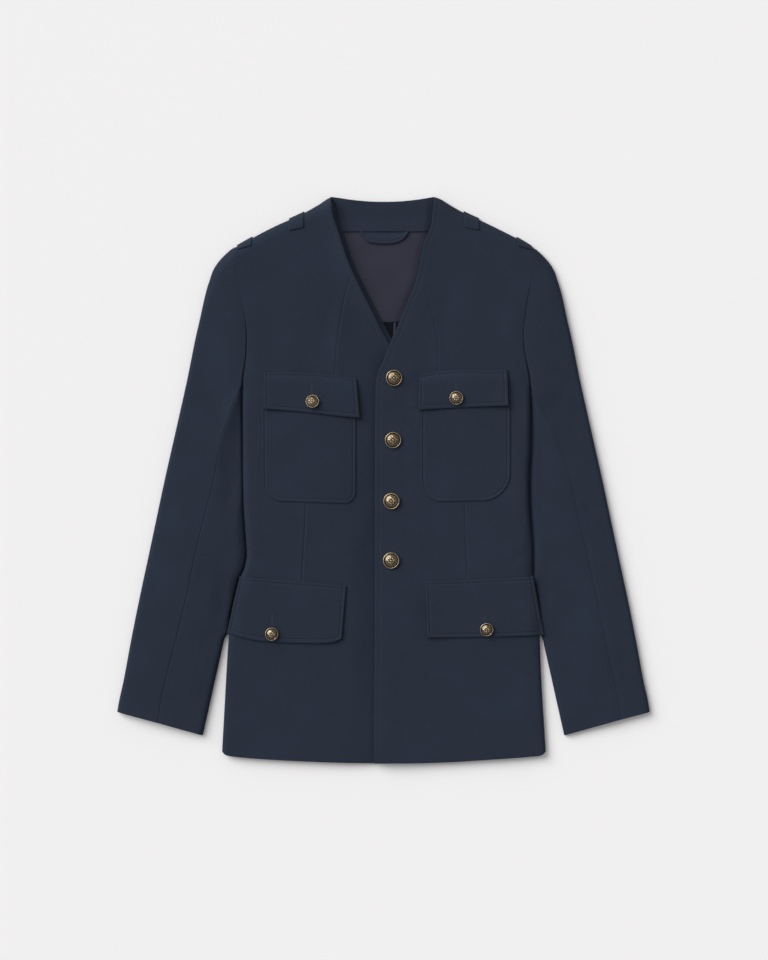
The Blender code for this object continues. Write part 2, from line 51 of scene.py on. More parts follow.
# Heights and widths of the laid cloth
BACK_TOP = 2.4
FOOT = 2.7                    # lowest line of a front, on the back
BODY_LEVEL = 11.8             # top of a front over its flat middle
BODY_ROLL = 13.0              # over the shoulder
SIDE_ROLL = 7.0               # down to the side
SIDE_FOOT = 5.5               # height of the side's upright foot
UNDERLAP_SINK = 4.6
OVERLAP_RISE = 1.5
SLEEVE_FOLD = 4.4             # height of the outermost line of a sleeve
SLEEVE_ROLL = 5.5
SLEEVE_SHELF = {"right": 8.8, "left": 9.3}      # just inside the outer fold
SLEEVE_CREST = {"right": 12.2, "left": 9.8}     # along the sleeve's front seam
SLEEVE_INNER = 1.8            # beside the body
SLEEVE_BANK = {"right": 9.0, "left": 6.6}       # top of the steep bank next to it
CLOTH = 1.9                   # thickness of a single wall
PATCH = 1.0
FLAP = 1.7
REST = 0.25                   # between a panel and what lies on it
EDGE_ROUND = 1.3              # width over which a turned edge rounds off
EDGE_DROP = 0.75
SEAM = 0.08

# x, drop
FRONT_EDGE = {
    "right": [(-65.5, -0.5), (-64.6, 14), (-62.8, 24), (-55.6, 46), (-44, 81), (-25.8, 120),
              (-8, 155), (6.3, 182), (20.6, 208), (33, 236), (33, 450), (33, 707.7)],
    "left": [(63, -0.5), (61.8, 16), (60, 32), (56.8, 43), (51.5, 54), (46.6, 76), (41, 103),
             (34, 121), (26, 140), (18, 161), (8.5, 182), (-0.5, 206), (-6, 217), (-9, 229),
             (-9.8, 242), (-10.8, 500), (-12, 707.8)],
}
# out, drop
SHOULDER = {
    "right": [(65.5, -0.5), (72, 3.2), (79.4, 8.2), (91.9, 15.6), (104, 22), (117, 28), (129.4, 33.4),
              (142, 39.4), (154.4, 45.8), (167, 52.6), (184.5, 62.5)],
    "left": [(63, -0.5), (71, 2.2), (83, 9.6), (95.6, 16.8), (108, 23), (120.6, 28.6), (133, 34.5),
             (145.6, 40.7), (158, 46.9), (170.6, 53.6), (185.5, 62.5)],
}
# out, drop
ARMHOLE = {
    "right": [(184.5, 62.5), (185.5, 79), (184.5, 100), (179.5, 120), (174.5, 141), (171, 166),
              (171, 188), (172, 204), (174.8, 222), (176.5, 239)],
    "left": [(185.5, 62.5), (187, 79), (185.5, 100), (180.5, 120), (177, 145), (174.5, 166),
             (175.5, 188), (179, 207), (182.5, 225), (184, 239)],
}
# out, drop
SIDE = {
    "right": [(176.5, 239), (176, 300), (175.8, 345), (175.2, 379), (173.6, 404), (171.8, 429),
              (170.8, 447.5), (174.5, 466), (179, 475), (185.5, 497.5), (191.5, 526), (194, 554), (202, 693)],
    "left": [(184, 239), (183, 316), (181.5, 347), (181.5, 375), (183, 404), (185.5, 435),
             (186, 466), (187, 475), (191, 496), (194.5, 522), (195.5, 549), (197.5, 604),
             (203, 693)],
}
# x, drop
HEM = {
    "right": [(-202, 693), (-197, 697.3), (-180, 700), (-142, 703), (-104, 705), (-67, 706.5),
              (-20, 707.7), (33, 707.7)],
    "left": [(203, 693), (198, 697.3), (180, 699.7), (158, 701.5), (120, 704), (83, 706.3),
             (45, 707.5), (-12, 707.8)],
}
# out, drop
SLEEVE_OUTER = [(185, 62.3), (191, 65.8), (204.5, 78.5), (213, 91), (217.5, 104), (221.3, 116),
                (224.5, 129), (230, 154), (235.7, 179), (245.7, 229), (262.5, 304), (273.8, 354),
                (284.4, 404), (295, 454), (305.7, 504), (315.7, 554), (325, 604), (330.5, 629),
                (333, 643.5)]
SLEEVE_SEAM = {
    "right": [(178.8, 240), (187, 258), (194.5, 280), (203, 304), (212, 355), (225, 405),
              (235.5, 448), (246, 500), (257, 545), (267.5, 586), (276.5, 623), (282, 657)],
    "left": [(184.8, 240), (193, 256), (203, 277), (218, 310), (233, 352), (243, 400),
             (253, 440), (262.5, 484), (272, 530), (281, 572), (289.5, 611), (297, 653)],
}
# the soft crease inside each sleeve's seam: out, drop
SLEEVE_CREASE = {
    "right": [(178, 362), (188, 403), (196.5, 431), (207, 481), (215.5, 516), (224.5, 556),
              (234, 603), (239, 628)],
    "left": [(215, 455), (224, 492), (233, 529), (238.5, 560), (247, 600), (252, 628)],
}
FREE_EDGE_TOP = (199.4, 553.75)
FREE_EDGE_CUFF = (226.0, 673.0)

# drop at the armhole or side, drop at the front edge
FRONT_ROWS = [(62.5, -0.5), (77, 13.5), (86, 24), (101, 46), (121, 81), (146, 120), (176, 161),
              (208, 208), (239, 240), (290, 291), (388, 388), (490, 491), (556, 560), (640, 652),
              (693, 707.7)]
# drop at the outer fold, drop at the armhole or the seam
TOP_SLEEVE_ROWS = [(62.6, 63.5), (66, 70), (70.5, 77), (76.5, 86), (87, 101), (106, 121), (129, 146), (158, 176),
                   (190, 208), (222, 240), (250, 264), (278, 290), (320, 331), (370, 381),
                   (420, 431), (470, 481), (520, 532), (570, 582), (610, 622), (643.5, 657)]
# drop at the seam, drop at the inner edge
UNDER_SLEEVE_ROWS = [(243, 243), (254, 255), (269, 272), (287, 291), (331, 337), (381, 388), (437, 447.5),
                     (478, 490), (542, 556), (600, 614), (640, 655), (657, 673)]
CUFF_SEAM_DROP = {"right": 657, "left": 653}

# seams and darts on the fronts, each a groove: name, depth, then x, drop
DARTS = {
    "right": [("neck", 0.5, [(-40, 99), (-47, 120), (-57, 176), (-61, 222)]),
              ("waist", 0.6, [(-96.5, 383), (-99, 430), (-102, 480)])],
    "left": [("neck", 0.42, [(50.5, 112), (63, 155), (67.5, 180), (68.5, 220)]),
             ("waist", 0.55, [(101, 378), (103, 430), (105, 478)])],
}
# columns of the fronts' grids follow these lines: x, drop
DART_COLUMNS = {
    "right": [[(-104, 1.5), (-100, 200), (-96.5, 383), (-99, 430), (-102, 480), (-106, 708)],
              [(-80, 1.5), (-66, 40), (-54, 75), (-40.5, 99), (-47, 120), (-57, 176), (-61, 222),
               (-63, 400), (-65, 708)]],
    "left": [[(104, 1.5), (101, 200), (101, 378), (103, 430), (105, 478), (108, 708)],
             [(80, 1.5), (72, 40), (62, 80), (51, 110), (63, 155), (67.5, 180), (68.5, 220),
              (66, 400), (66, 708)]],
}
# Soft folds of the body: x, drop at each end, height (minus is a trough), half width, one row each
FOLDS = {
    "right": [(-68, 125, -72, 185, -1.0, 10), (-52, 150, -58, 215, 0.7, 9),
              (-112, 250, -108, 110, 0.5, 22), (-95, 395, -70, 470, -0.5, 14),
              (-32, 395, -38, 640, 0.7, 12), (-168, 300, -160, 430, 0.6, 9),
              (-150, 455, -172, 440, -0.8, 7), (-120, 600, -128, 690, 0.4, 18),
              (-60, 590, -66, 700, -0.4, 15), (-165, 110, -150, 190, 0.5, 14)],
    "left": [(76, 120, 78, 190, -0.8, 10), (60, 165, 74, 215, 0.6, 9),
             (20, 230, 34, 300, -0.9, 10), (24, 310, 30, 365, -0.7, 9), (40, 205, 14, 250, 0.6, 9),
             (118, 250, 112, 110, 0.5, 22), (28, 390, 34, 440, -0.5, 9),
             (60, 480, 52, 470, -0.4, 10), (168, 300, 165, 420, 0.6, 9),
             (160, 455, 184, 440, -0.7, 7), (8, 480, 6, 690, 0.5, 12),
             (30, 268.5, 43, 268, -0.8, 2.5), (70, 590, 76, 700, 0.5, 18), (176, 560, 182, 680, 0.5, 10), (168, 110, 152, 190, 0.5, 14)],
}
# Soft folds of the sleeves: out, drop at each end, height, half width
SLEEVE_FOLDS = {
    "right": [(205, 150, 192, 235, 0.6, 13), (232, 220, 205, 262, -0.6, 9), (250, 300, 228, 330, -0.5, 10),
              (262, 395, 236, 420, 0.5, 11), (284, 470, 255, 492, -0.5, 12), (300, 560, 272, 575, 0.4, 12),
              (196, 330, 190, 420, -0.7, 8), (212, 470, 222, 520, 0.6, 9)],
    "left": [(200, 258, 198, 345, -1.3, 8), (206, 150, 196, 235, 0.6, 13), (236, 225, 208, 270, -0.6, 9), (256, 330, 232, 352, 0.5, 10),
             (268, 380, 246, 405, -0.6, 11), (290, 480, 262, 497, 0.4, 12), (304, 575, 280, 590, -0.4, 12),
             (200, 330, 196, 410, -0.6, 9), (214, 470, 222, 530, 0.5, 9)],
}

CHEST_FLAP = {
    "right": {"top": [(-33.5, 227.5), (-60.5, 222.5), (-104.5, 219.5), (-149, 219.5)],
              "bottom": [(-29.5, 276.3), (-54.5, 274.4), (-92, 270), (-149.5, 265)]},
    "left": {"top": [(45, 222.3), (66, 218.2), (98, 216), (130, 216.8), (154.5, 216)],
             "bottom": [(43, 266.4), (70, 265), (120, 262.7), (155.7, 261.2)]},
}
HIP_FLAP = {
    "right": {"top": [(-46.3, 485.5), (-75, 482.7), (-104.5, 480), (-179.5, 474.5)],
              "bottom": [(-52, 551.5), (-62, 556), (-104.5, 557.5), (-157, 554.2), (-195.7, 545)]},
    "left": {"top": [(52, 480), (100, 478.4), (145, 476.2), (187, 474)],
             "bottom": [(54.5, 550.5), (100, 550.2), (150, 549.3), (200.6, 547.3)]},
}
# inner x, outer x, top drop, bottom drop, inner and outer corner radius, fall of the bottom
# towards the centre
CHEST_POCKET = {
    "right": (-34.5, -151.5, 235.0, 381.5, 15.0, 25.0, 4.0),
    "left": (46.2, 158.0, 233.0, 380.0, 27.0, 34.0, 2.4),
}
# how far each corner of a flap lifts: inner, outer
FLAP_LIFT = {"chest_right": (1.4, 1.8), "chest_left": (0.6, 2.6),
             "hip_right": (1.1, 0.6), "hip_left": (0.8, 0.6)}
SHOULDER_LOOP = {
    "right_inner": (-109, 16.0),
    "right_outer": (-174.0, 6.5),
    "left_inner": (110, 16.0),
    "left_outer": (176.0, 6.5),
}
LOOP_WIDTH = 18.5
LOOP_PROUD = 2.4
LOOP_THICK = 1.5

# name: x, drop, radius, tilt in degrees, direction of the raised side in degrees
BUTTONS = {
    "front_button_1": (13.0, 226.5, 10.3, 6.0, 135),
    "front_button_2": (11.8, 304.0, 10.3, 5.0, 150),
    "front_button_3": (10.0, 380.0, 10.3, 5.0, 40),
    "front_button_4": (9.4, 454.0, 10.3, 2.0, 90),
    "chest_button_right": (-88.4, 256.2, 8.4, 15.0, 285),
    "chest_button_left": (90.6, 251.5, 8.6, 1.0, 90),
    "hip_button_right": (-139.4, 545.6, 8.4, 5.0, 100),
    "hip_button_left": (128.4, 540.0, 8.4, 5.0, 80),
}
# flap: x, first and last drop of its buttonhole
BUTTONHOLES = {
    "chest_flap_right": (-89.2, 233.5, 246.5),
    "chest_flap_left": (90.6, 233.5, 243.0),
    "hip_flap_right": (-138.6, 521.0, 536.0),
    "hip_flap_left": (126.8, 523.0, 532.0),
}
# how far a front's facing shows inside the neck at its top and bottom, and the drops between
NECK_FACING = {"right": ((4.5, 5.5), (6, 192)), "left": ((-2.4, -2.4), (10, 172))}
# how far the right front's neckline stands up: drop, height
# how deep the armhole seam dips near the underarm: drop, depth
UNDERARM = {"right": ((150, 180, 206, 216, 232, 246), (0, 1.3, 1.5, 3.6, 4.6, 4.6)),
            "left": ((185, 198, 207, 216, 232, 246), (0, 0.8, 1.4, 3.6, 4.6, 4.6))}
NECK_STAND = ((0, 6, 16, 30, 54, 80, 104, 150, 180, 215), (2.0, 6.5, 6.5, 5.0, 4.0, 4.6, 5.6, 5.6, 3.4, 0))
FACING_DROP = 43.5
YOKE_DROP = 156.0
LOWER_DROP = 192.0


def smooth_curve(rows, per_span=14):
    """A smooth line through the rows, by a centripetal Catmull-Rom spline."""
    points = np.array(rows, dtype=float)
    points = np.vstack([2 * points[0] - points[1], points, 2 * points[-1] - points[-2]])
    line = []
    for a, b, c, d in zip(points, points[1:], points[2:], points[3:]):
        steps = [math.sqrt(np.hypot(*(q - p))) for p, q in ((a, b), (b, c), (c, d))]
        k1, k2, k3 = np.cumsum(steps)
        t = np.linspace(k1, k2, per_span, endpoint=False)[:, None]
        ab = (k1 - t) / k1 * a + t / k1 * b
        bc = (k2 - t) / (k2 - k1) * b + (t - k1) / (k2 - k1) * c
        cd = (k3 - t) / (k3 - k2) * c + (t - k2) / (k3 - k2) * d
        abc = (k2 - t) / k2 * ab + t / k2 * bc
        bcd = (k3 - t) / (k3 - k1) * bc + (t - k1) / (k3 - k1) * cd
        line.append((k2 - t) / (k2 - k1) * abc + (t - k1) / (k2 - k1) * bcd)
    line.append(points[-2][None, :])
    return np.vstack(line)


def mirrored(rows, side):
    line = smooth_curve(rows)
    line[:, 0] *= SIGN[side]
    return line


def at_drop(curve, drop):
    return np.interp(drop, curve[:, 1], curve[:, 0])


def line_lengths(line):
    return np.concatenate([[0], np.cumsum(np.hypot(*np.diff(line, axis=0).T))])


def along(line, share):
    """Points at shares of a line's length."""
    length = line_lengths(line)
    at = np.asarray(share) * length[-1]
    return np.stack([np.interp(at, length, line[:, 0]), np.interp(at, length, line[:, 1])], axis=-1)


def distance_to(line, x, drop, block=4000):
    """Shortest distance from each point to a line of straight pieces."""
    shape = np.shape(x)
    flat = np.stack([np.ravel(x), np.ravel(drop)], axis=1)
    start = line[None, :-1]
    step = line[None, 1:] - start
    square = np.sum(step * step, axis=2)
    gaps = []
    for first in range(0, len(flat), block):
        point = flat[first:first + block, None, :]
        reach = np.clip(np.sum((point - start) * step, axis=2) / square, 0, 1)
        gaps.append(np.linalg.norm(point - start - reach[..., None] * step, axis=2).min(axis=1))
    return np.concatenate(gaps).reshape(shape)


def smooth_step(value, low, high):
    t = np.clip((value - low) / (high - low), 0, 1)
    return t * t * (3 - 2 * t)


def roll(share):
    """Quarter of an ellipse: 0 at the edge, 1 on the flat."""
    return np.sqrt(1 - (1 - np.clip(share, 0, 1)) ** 2)


def edge_round(gap, width=EDGE_ROUND, depth=EDGE_DROP):
    """How far a turned or seamed edge lies below its panel."""
    return depth * (1 - roll(gap / width))


def groove(line, x, drop, depth, width):
    """Narrow trough along a line, fading at its ends."""
    gap = distance_to(line, x, drop)
    return depth * np.exp(-(gap / width) ** 2)


def folds(table, x, drop):
    """Broad soft folds: each row is a line with a height and a half width."""
    total = np.zeros(np.shape(x))
    for x0, drop0, x1, drop1, height, half in table:
        length = math.hypot(x1 - x0, drop1 - drop0)
        ux, ud = (x1 - x0) / length, (drop1 - drop0) / length
        run = (x - x0) * ux + (drop - drop0) * ud
        off = (x - x0) * ud - (drop - drop0) * ux
        ends = smooth_step(run, -half, length * 0.3) * (1 - smooth_step(run, length * 0.7, length + half))
        total = total + height * ends * np.exp(-(off / half) ** 2)
    return total


def ripple(x, drop, phase):
    """Slight unevenness of laid cloth, a few tenths of a millimetre."""
    wave = np.sin(x / 23 + phase) * np.sin(drop / 41 + 1.7 * phase)
    wave = wave + 0.6 * np.sin(x / 11 - drop / 29 + 2.3 * phase) * np.sin(drop / 17 + phase)
    return 0.22 * wave


class Outline:
    """The smooth lines of one side of the jacket, worked out once."""

    def __init__(self, side):
        self.side = side
        self.sign = SIGN[side]
        self.shoulder = mirrored(SHOULDER[side], side)
        self.armhole = mirrored(ARMHOLE[side], side)
        self.flank = mirrored(SIDE[side], side)
        self.front = smooth_curve(FRONT_EDGE[side])
        self.hem = smooth_curve(HEM[side])
        self.fold = mirrored(SLEEVE_OUTER, side)
        self.seam = mirrored(SLEEVE_SEAM[side], side)
        self.crease = mirrored(SLEEVE_CREASE[side], side)
        self.body_side = np.vstack([self.armhole[:-1], self.flank])
        self.top_edge = np.vstack([self.shoulder[:-1], self.fold])
        self.ridge = np.vstack([self.armhole[:-1], self.seam])

    def side_out(self, drop):
        return np.abs(at_drop(self.body_side, drop))

    def inner_out(self, drop):
        """Inner edge of the sleeve: beside the body, then straight to the cuff."""
        slope = (FREE_EDGE_CUFF[0] - FREE_EDGE_TOP[0]) / (FREE_EDGE_CUFF[1] - FREE_EDGE_TOP[1])
        free = FREE_EDGE_TOP[0] + slope * (drop - FREE_EDGE_TOP[1])
        beside = self.side_out(np.minimum(drop, 560)) - 0.6
        blend = smooth_step(drop, 541, 553)
        return (1 - blend) * beside + blend * free


def front_level(side, x):
    if side == "right":
        return BODY_LEVEL - UNDERLAP_SINK * np.clip((x + 58) / 50, 0, 1.2) ** 1.8
    return BODY_LEVEL + OVERLAP_RISE * (1 - smooth_step(x, 30, 72))


def hem_fall(drop):
    """How far the fronts lie lower towards the hem."""
    return 3.2 * smooth_step(drop, 470, 650) - 0.8 * smooth_step(drop, 670, 706)


def front_base(outline, x, drop):
    """Height of the front's face without its sewing: flat, rolled down to side and shoulder."""
    side_gap = distance_to(outline.flank, x, drop)
    side_foot = (SIDE_FOOT - FOOT) / (BODY_LEVEL - FOOT) * smooth_step(side_gap, -0.1, 0.5)
    side_width = SIDE_ROLL
    if outline.side == "left":
        side_width = SIDE_ROLL + 9 * smooth_step(drop, 400, 450) * (1 - smooth_step(drop, 548, 600))
    side_share = side_foot + (1 - side_foot) * roll(side_gap / side_width)
    side_weight = smooth_step(drop, 215, 250)
    shoulder_share = roll(distance_to(outline.top_edge, x, drop) / BODY_ROLL)
    level = front_level(outline.side, x) - hem_fall(drop) + folds(FOLDS[outline.side], x, drop)
    level = level + ripple(x, drop, 0.4 + outline.sign)
    if outline.side == "right":
        stand = np.interp(drop, *NECK_STAND)
        level = level + stand * np.exp(-(distance_to(outline.front, x, drop) / 13) ** 2)
    else:
        level = level + 1.3 * np.exp(-((drop - 350) / 70) ** 2 - ((x + 10) / 16) ** 2)
    return FOOT + (level - FOOT) * (1 - side_weight * (1 - side_share)) * shoulder_share


def front_height(outline, x, drop):
    z = front_base(outline, x, drop)
    for _, depth, rows in DARTS[outline.side]:
        z = z - groove(smooth_curve(rows), x, drop, depth, 1.0)
        z = z + groove(smooth_curve(rows), x, drop, depth * 0.45, 4.5)
    z = z - edge_round(distance_to(outline.front, x, drop))
    z = z - edge_round(distance_to(outline.hem, x, drop))
    seam_gap = distance_to(outline.armhole, x, drop)
    deep = 0.06 + 0.94 * smooth_step(drop, 100, 200)
    z = z - deep * (edge_round(seam_gap, 1.8, 1.2) + 0.6 * np.exp(-(seam_gap / 7) ** 2))
    return z - underarm(outline.side, seam_gap, drop)


def underarm(side, gap, drop):
    """How far the cloth dips into the armhole seam, which opens towards the underarm."""
    depth = np.interp(drop, *UNDERARM[side])
    width = 1.8 + 1.2 * smooth_step(drop, 206, 236)
    return depth * (1 - roll(gap / width))


def sleeve_height(outline, x, drop):
    """Height of the sleeve's face: rolled at the fold, crested along the seam, low at the body."""
    fold_gap = distance_to(outline.top_edge, x, drop)
    seam_gap = distance_to(outline.ridge, x, drop)
    crest = BODY_LEVEL + (SLEEVE_CREST[outline.side] - BODY_LEVEL) * smooth_step(drop, 228, 300)
    crest = crest - 0.8 * smooth_step(drop, 560, 665)
    to_seam = fold_gap / np.maximum(fold_gap + seam_gap, 0.001)
    shelf = SLEEVE_SHELF[outline.side]
    shelf = shelf + (crest - shelf) * np.sin(np.clip(to_seam, 0, 1) * math.pi / 2)
    fold = FOOT + (SLEEVE_FOLD - FOOT) * smooth_step(drop, 75, 120)
    fold_width = BODY_ROLL + (SLEEVE_ROLL - BODY_ROLL) * smooth_step(drop, 85, 150)
    shelf = fold + (shelf - fold) * roll(fold_gap / fold_width)
    inner_gap = np.abs(x) - outline.inner_out(drop)
    share = np.clip(inner_gap / np.maximum(inner_gap + seam_gap, 0.001), 0, 1)
    free = smooth_step(drop, 530, 560)
    low = SLEEVE_INNER + 4.0 * (1 - smooth_step(drop, 238, 262)) + 1.6 * free
    if outline.side == "right":
        low = low + np.interp(drop, (262, 300, 341, 378, 410), (0, 2.4, 3.8, 2.6, 0))
    waist = smooth_step(drop, 370, 405) * (1 - smooth_step(drop, 480, 510))
    if outline.side == "right":
        ditch = 1.0 + 0.8 * waist
        bank_width = 3.5 + 9.0 * waist + 1.5 * smooth_step(drop, 480, 510)
    else:
        beside_flap = smooth_step(drop, 460, 480)
        ditch = 1.0 + 3.0 * smooth_step(drop, 250, 300) * (1 - beside_flap)
        slack = smooth_step(drop, 240, 256) * (1 - smooth_step(drop, 300, 335))
        bank_width = 3.0 + 4.0 * free + 9.0 * slack
    bank_width = np.minimum(bank_width, np.maximum(inner_gap + seam_gap - ditch, 0.8))
    bank_top = SLEEVE_BANK[outline.side]
    bank = low + (bank_top - low) * roll((inner_gap - ditch) / bank_width)
    inside = bank + (crest - bank_top) * np.sin(share * math.pi / 2) ** 2
    inside = np.minimum(inside, crest)
    is_inside = np.abs(x) < np.abs(at_drop(outline.seam, drop))
    is_inside = is_inside & (drop > SLEEVE_SEAM[outline.side][0][1])
    z = np.where(is_inside, inside, shelf)
    pinch = smooth_step(drop, 205, 240) * (1 - smooth_step(drop, 310, 350))
    z = z + (1.9 if outline.side == "right" else 0.5) * pinch * np.exp(-seam_gap / 8)
    arm_gap = distance_to(outline.armhole, x, drop)
    z = z - 0.9 * np.exp(-(arm_gap / 9) ** 2) * smooth_step(drop, 90, 150)
    z = z + folds(SLEEVE_FOLDS[outline.side], np.abs(x), drop) * roll(fold_gap / 20)
    z = z + ripple(x, drop, 2.1 + outline.sign) * roll(fold_gap / 20)
    z = z - groove(outline.crease, x, drop, 0.55, 1.6) + groove(outline.crease, x, drop, 0.4, 6)
    deep = 0.05 + 0.95 * smooth_step(drop, 100, 200) - 0.45 * smooth_step(drop, 238, 262)
    if outline.side == "left":
        deep = deep * (1 - 0.7 * smooth_step(drop, 240, 262) + 0.25 * smooth_step(drop, 300, 380))
        z = z - 0.35 * smooth_step(drop, 290, 350) * np.exp(-(seam_gap / 5) ** 2)
    z = z - deep * edge_round(seam_gap, 2.0, 1.1) - underarm(outline.side, arm_gap, drop)
    cuff = np.array([outline.fold[-1], [outline.sign * FREE_EDGE_CUFF[0], FREE_EDGE_CUFF[1]]])
    z = z - edge_round(distance_to(cuff, x, drop))
    return z


def patch(top, bottom, start, end, across, down):
    """Coons patch: start and end run down its sides, top and bottom run across it."""
    u = across[..., None]
    v = down[..., None]
    corners = (1 - u) * (1 - v) * top[0] + u * (1 - v) * top[-1]
    corners = corners + (1 - u) * v * bottom[0] + u * v * bottom[-1]
    rows = (1 - v) * along(top, across) + v * along(bottom, across)
    columns = (1 - u) * start[:, None, :] + u * end[:, None, :]
    return rows + columns - corners


def spaced(length, step, fine_start=(), fine_end=()):
    """Distances from 0 to length: fine ones at each end, even ones between."""
    head = [0.0] + list(fine_start)
    tail = [length - gap for gap in reversed(fine_end)] + [length]
    count = max(2, int(round((tail[0] - head[-1]) / step)))
    middle = np.linspace(head[-1], tail[0], count + 1)[1:-1]
    return np.concatenate([head, middle, tail])


def between(rows, step, fine_start=(), fine_end=()):
    """Rows of a two-column table, filled in at even steps of their mean."""
    table = np.array(rows, dtype=float)
    mean = table.mean(axis=1)
    at = spaced(mean[-1] - mean[0], step, fine_start, fine_end) + mean[0]
    return np.stack([np.interp(at, mean, table[:, 0]), np.interp(at, mean, table[:, 1])], axis=1)


SHOULDER_STEPS = (0.35, 0.8, 1.4, 2.2, 3.2, 4.4, 6.0, 8.0, 10.5, 13.0)
TURNED_STEPS = (0.3, 0.7, 1.2, 2.0, 3.4)
STITCHED_STEPS = (0.3, 0.7, 1.2, 2.0, 2.7, 3.2, 3.7, 4.3, 4.9, 5.5, 6.0, 6.5, 7.2, 8.6)
SEAM_STEPS = (0.4, 0.9, 1.6, 2.6, 4.2)
CLUSTER_STEPS = (0.45, 0.95, 1.6, 2.6, 4.2)
SEAM_SHIFT = 5.0              # the seam underneath lies this far outside the one on top
STITCH_INSET = 6.0
STITCH_PITCH = 3.0


def quads(rows, columns):
    index = np.arange(rows * columns).reshape(rows, columns)
    corners = [index[:-1, :-1], index[:-1, 1:], index[1:, 1:], index[1:, :-1]]
    return np.stack([c.ravel() for c in corners], axis=1)


def new_object(name, places, faces, material):
    mesh = bpy.data.meshes.new(name)
    mesh.from_pydata([tuple(p) for p in places], [], [tuple(int(k) for k in f) for f in faces])
    mesh.polygons.foreach_set("use_smooth", [True] * len(mesh.polygons))
    mesh.materials.append(MATERIAL[material])
    rim = np.zeros(len(mesh.loops), dtype=int)
    mesh.loops.foreach_get("edge_index", rim)
    once = np.bincount(rim, minlength=len(mesh.edges)) == 1
    mesh.edges.foreach_set("use_edge_sharp", once)
    item = bpy.data.objects.new(name, mesh)
    bpy.context.scene.collection.objects.link(item)
    return item


def world_points(x, drop, z):
    return np.stack([x, ORIGIN_DROP - drop, z], axis=-1).reshape(-1, 3) * MM


def cloth(name, x, drop, z, thick, material):
    """Sheet through rows of points, made solid under its outer face, in its CAD node's place."""
    places = world_points(x, drop, z)
    faces = quads(*x.shape)
    a, b, d = places[faces[:, 0]], places[faces[:, 1]], places[faces[:, 3]]
    normal = np.cross(b - a, d - a)
    lift = a[:, 2] - places[:, 2].min() + MM
    if np.sum(normal[:, 2] * lift) < 0:
        faces = faces[:, ::-1]
    item = new_object(name + "_cloth", places, faces, material)
    wall = item.modifiers.new("wall", "SOLIDIFY")
    wall.thickness = thick * MM
    wall.offset = -1.0
    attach(item, "root")
    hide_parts(name)
    SURFACE[name] = BVHTree.FromPolygons([tuple(p) for p in places], [tuple(int(k) for k in f) for f in faces])
    MEASURED[name] = float(np.sum(np.linalg.norm(normal, axis=1)))
    return item


def height_on(names, x, drop):
    """Highest of the named surfaces at a point, in millimetres."""
    start = Vector((x * MM, (ORIGIN_DROP - drop) * MM, 0.1))
    best = None
    for name in names:
        place = SURFACE[name].ray_cast(start, Vector((0, 0, -1)))[0]
        if place is not None and (best is None or place.z > best):
            best = place.z
    return None if best is None else best / MM


def stitch_row(name, paths, surfaces, pitch=STITCH_PITCH, length=2.0, half_width=0.3, rise=0.22):
    """Rows of short stitches along lines of x, drop, each lying on the highest cloth there."""
    places, faces = [], []
    profile = [(-1.0, 0.0), (-0.62, 1.0), (0.62, 1.0), (1.0, 0.0)]
    for path in paths:
        total = line_lengths(path)[-1]
        count = max(1, int(total / pitch))
        at = (np.arange(count) + 0.5) / count
        span = 0.5 * length / total
        for middle, before, after in zip(along(path, at), along(path, at - span), along(path, at + span)):
            z = height_on(surfaces, *middle)
            z0 = height_on(surfaces, *before)
            z1 = height_on(surfaces, *after)
            if None in (z, z0, z1):
                continue
            run = after - before
            side = np.array([-run[1], run[0]]) / np.hypot(*run)
            first = len(places)
            for share, full in profile:
                spot = middle + run * 0.5 * share
                level = z + (z1 - z0) * 0.5 * share - 0.12
                for across, up in ((-1, 0.0), (0, 1.0), (1, 0.0)):
                    wide = half_width * (0.3 + 0.7 * full)
                    x, drop = spot + side * across * wide
                    places.append((x, drop, level + up * (0.12 + rise * full)))
            for ring in range(len(profile) - 1):
                for side_step in range(2):
                    a = first + ring * 3 + side_step
                    faces.append((a, a + 3, a + 4, a + 1))
    grid = np.array(places)
    item = new_object(name, world_points(grid[:, 0], grid[:, 1], grid[:, 2]), faces, "thread")
    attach(item, "root")
    return item


def segment(low, high, head, tail, count):
    """Columns from low to high in every row: set distances at both ends, even between."""
    head = np.concatenate([[0.0], head])
    tail = np.concatenate([[0.0], tail])
    room = (high - low)[:, None]
    shrink = np.minimum(1.0, 0.8 * room / (head[-1] + tail[-1]))
    first = low[:, None] + shrink * head[None, :]
    last = high[:, None] - shrink * tail[None, ::-1]
    share = np.linspace(0, 1, count + 2)[None, 1:-1]
    middle = first[:, -1:] + (last[:, :1] - first[:, -1:]) * share
    return np.hstack([first, middle, last])


